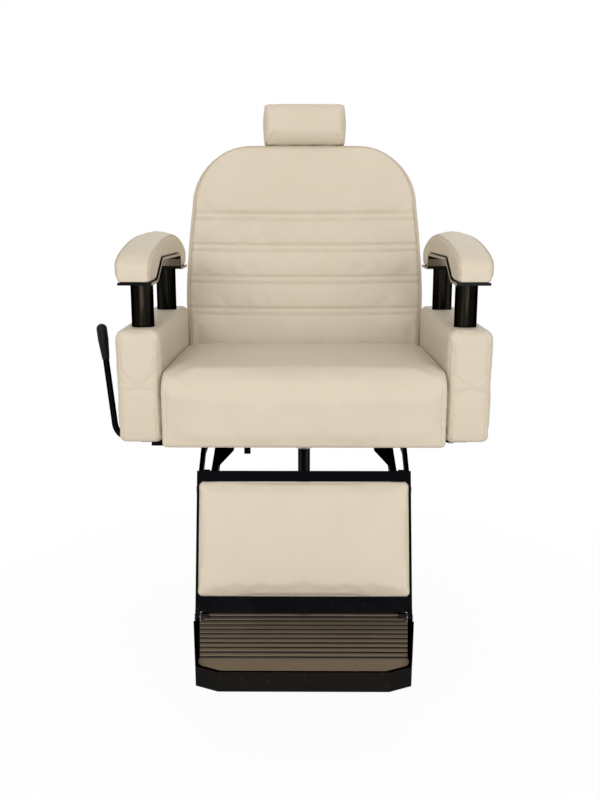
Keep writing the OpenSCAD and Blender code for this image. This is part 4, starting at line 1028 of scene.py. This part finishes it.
def makeLegPad():
    g = legRest
    length = g["length"] - g["bar"] - g["barLow"] - 2 * g["gap"]
    width = g["width"] - 2 * g["sideGap"] - g["rail"]
    loops = []
    for place, inset in padStations(length, g["edge"], g["middles"], 5):
        top = g["front"] + g["thick"] - g["crown"] - inset
        outline = padSlice(width / 2 - inset, g["front"] + g["gap"], top, g["edge"],
                           g["crown"] * swell(place / length), g["drawn"], topSteps=40, sideSteps=3,
                           bottomSteps=20, lowRadius=g["lowEdge"])
        low = g["over"] - g["bar"] - g["gap"] - length
        loops.append([onLeg(x, n, low + place) for x, n in outline])
    pad = makePad("legPad", loops, 0.0)
    normal = onLeg(0, 1, 0) - onLeg(0, 0, 0)

    def held(i):
        return (pad.data.vertices[i].co - legPoint).dot(normal) < g["front"] + g["held"]

    inflate(pad, held, g["swell"])
    subdivide(pad)
    padPiece(pad, "leg_rest", "leg_pad")


makeLegPad()
print("leg rest ready")


# Stage: pale floor, soft lamps, and the camera of the photograph
stage = {"floorZ": -0.19, "floorRadius": 14.0, "floorColor": (0.90, 0.90, 0.89), "shadowNear": 0.3,
         "shadowFar": 1.1, "shadowLeft": 0.95, "worldGrey": 0.52,
         "worldColor": (1.0, 0.955, 0.88), "lampColor": (1.0, 0.98, 0.95),
         "key": 132.0, "fill": 104.0, "low": 34.0, "rim": 5.0, "top": 9.0}


# The rays that see the white ground: the camera's and those of reflections
def seenRays(nodes, link):
    rays = nodes.new("ShaderNodeLightPath")
    return combined(nodes, link, "MAXIMUM", rays.outputs["Is Camera Ray"], rays.outputs["Is Glossy Ray"])


def makeFloor():
    work = bmesh.new()
    bmesh.ops.create_circle(work, cap_ends=True, segments=96, radius=stage["floorRadius"])
    mesh = bpy.data.meshes.new("floor")
    for v in work.verts:
        v.co.z = stage["floorZ"]
    work.to_mesh(mesh)
    work.free()
    floor = bpy.data.objects.new("floor", mesh)
    scene.collection.objects.link(floor)
    material = bpy.data.materials.new("paleFloor")
    material.use_nodes = True
    nodes, link = material.node_tree.nodes, material.node_tree.links.new
    shader, output = nodes["Principled BSDF"], nodes["Material Output"]
    shader.inputs["Base Color"].default_value = (*stage["floorColor"], 1)
    shader.inputs["Roughness"].default_value = 0.9
    shader.inputs["Specular IOR Level"].default_value = 0.0
    glow = addNode(nodes, "ShaderNodeEmission", {"Strength": 1.0})
    place = nodes.new("ShaderNodeTexCoord")
    distance = addNode(nodes, "ShaderNodeVectorMath", operation="LENGTH")
    fade = addNode(nodes, "ShaderNodeMapRange", {"From Min": stage["shadowNear"],
                                                 "From Max": stage["shadowFar"],
                                                 "To Min": stage["shadowLeft"]},
                   interpolation_type="SMOOTHSTEP")
    wire(link, (place, "Object", distance, 0), (distance, "Value", fade, "Value"))
    factor = combined(nodes, link, "MULTIPLY", seenRays(nodes, link), fade.outputs["Result"])
    mix = nodes.new("ShaderNodeMixShader")
    link(factor, mix.inputs["Fac"])
    link(shader.outputs["BSDF"], mix.inputs[1])
    link(glow.outputs["Emission"], mix.inputs[2])
    link(mix.outputs["Shader"], output.inputs["Surface"])
    mesh.materials.append(material)


def makeWorld():
    world = bpy.data.worlds.new("studio")
    scene.world = world
    world.use_nodes = True
    nodes, link = world.node_tree.nodes, world.node_tree.links.new
    grey = nodes["Background"]
    grey.inputs["Color"].default_value = (*stage["worldColor"], 1)
    grey.inputs["Strength"].default_value = stage["worldGrey"]
    white = addNode(nodes, "ShaderNodeBackground", {"Color": (1, 1, 1, 1), "Strength": 1.0})
    mix = nodes.new("ShaderNodeMixShader")
    link(seenRays(nodes, link), mix.inputs["Fac"])
    link(grey.outputs["Background"], mix.inputs[1])
    link(white.outputs["Background"], mix.inputs[2])
    link(mix.outputs["Shader"], nodes["World Output"].inputs["Surface"])


def makeLamp(name, place, aim, size, power):
    data = bpy.data.lights.new(name, "AREA")
    data.shape = "RECTANGLE"
    data.size, data.size_y = size
    data.energy = power
    data.color = stage["lampColor"]
    lamp = bpy.data.objects.new(name, data)
    lamp.location = place
    lamp.rotation_euler = (Vector(aim) - Vector(place)).to_track_quat("-Z", "Y").to_euler()
    scene.collection.objects.link(lamp)


makeFloor()
makeWorld()
makeLamp("keyLamp", (-2.8, -5.6, 3.4), (0, 0, 0.4), (3.6, 2.8), stage["key"])
makeLamp("fillLamp", (3.2, -5.3, 2.8), (0, 0, 0.4), (3.2, 3.2), stage["fill"])
makeLamp("lowLamp", (0.2, -5.4, 0.35), (0, 0, 0.2), (3.4, 1.0), stage["low"])
makeLamp("rimLamp", (0.6, 2.6, 2.2), (0, 0, 0.5), (2.0, 1.0), stage["rim"])
makeLamp("topLamp", (0, -0.2, 3.0), (0, 0, 0.4), (2.2, 2.2), stage["top"])

view = {"place": (0.002, -1.912, 0.760), "pitch": 77.13, "turn": 0.31, "lens": 43.01}
camera = bpy.data.objects.new("camera", bpy.data.cameras.new("camera"))
camera.location = view["place"]
camera.rotation_euler = (math.radians(view["pitch"]), 0, math.radians(view["turn"]))
camera.data.lens = view["lens"]
camera.data.sensor_width = 36
camera.data.sensor_fit = "AUTO"
camera.data.clip_start = 0.02
scene.collection.objects.link(camera)
scene.camera = camera

bpy.context.view_layer.update()
print("scene ready")
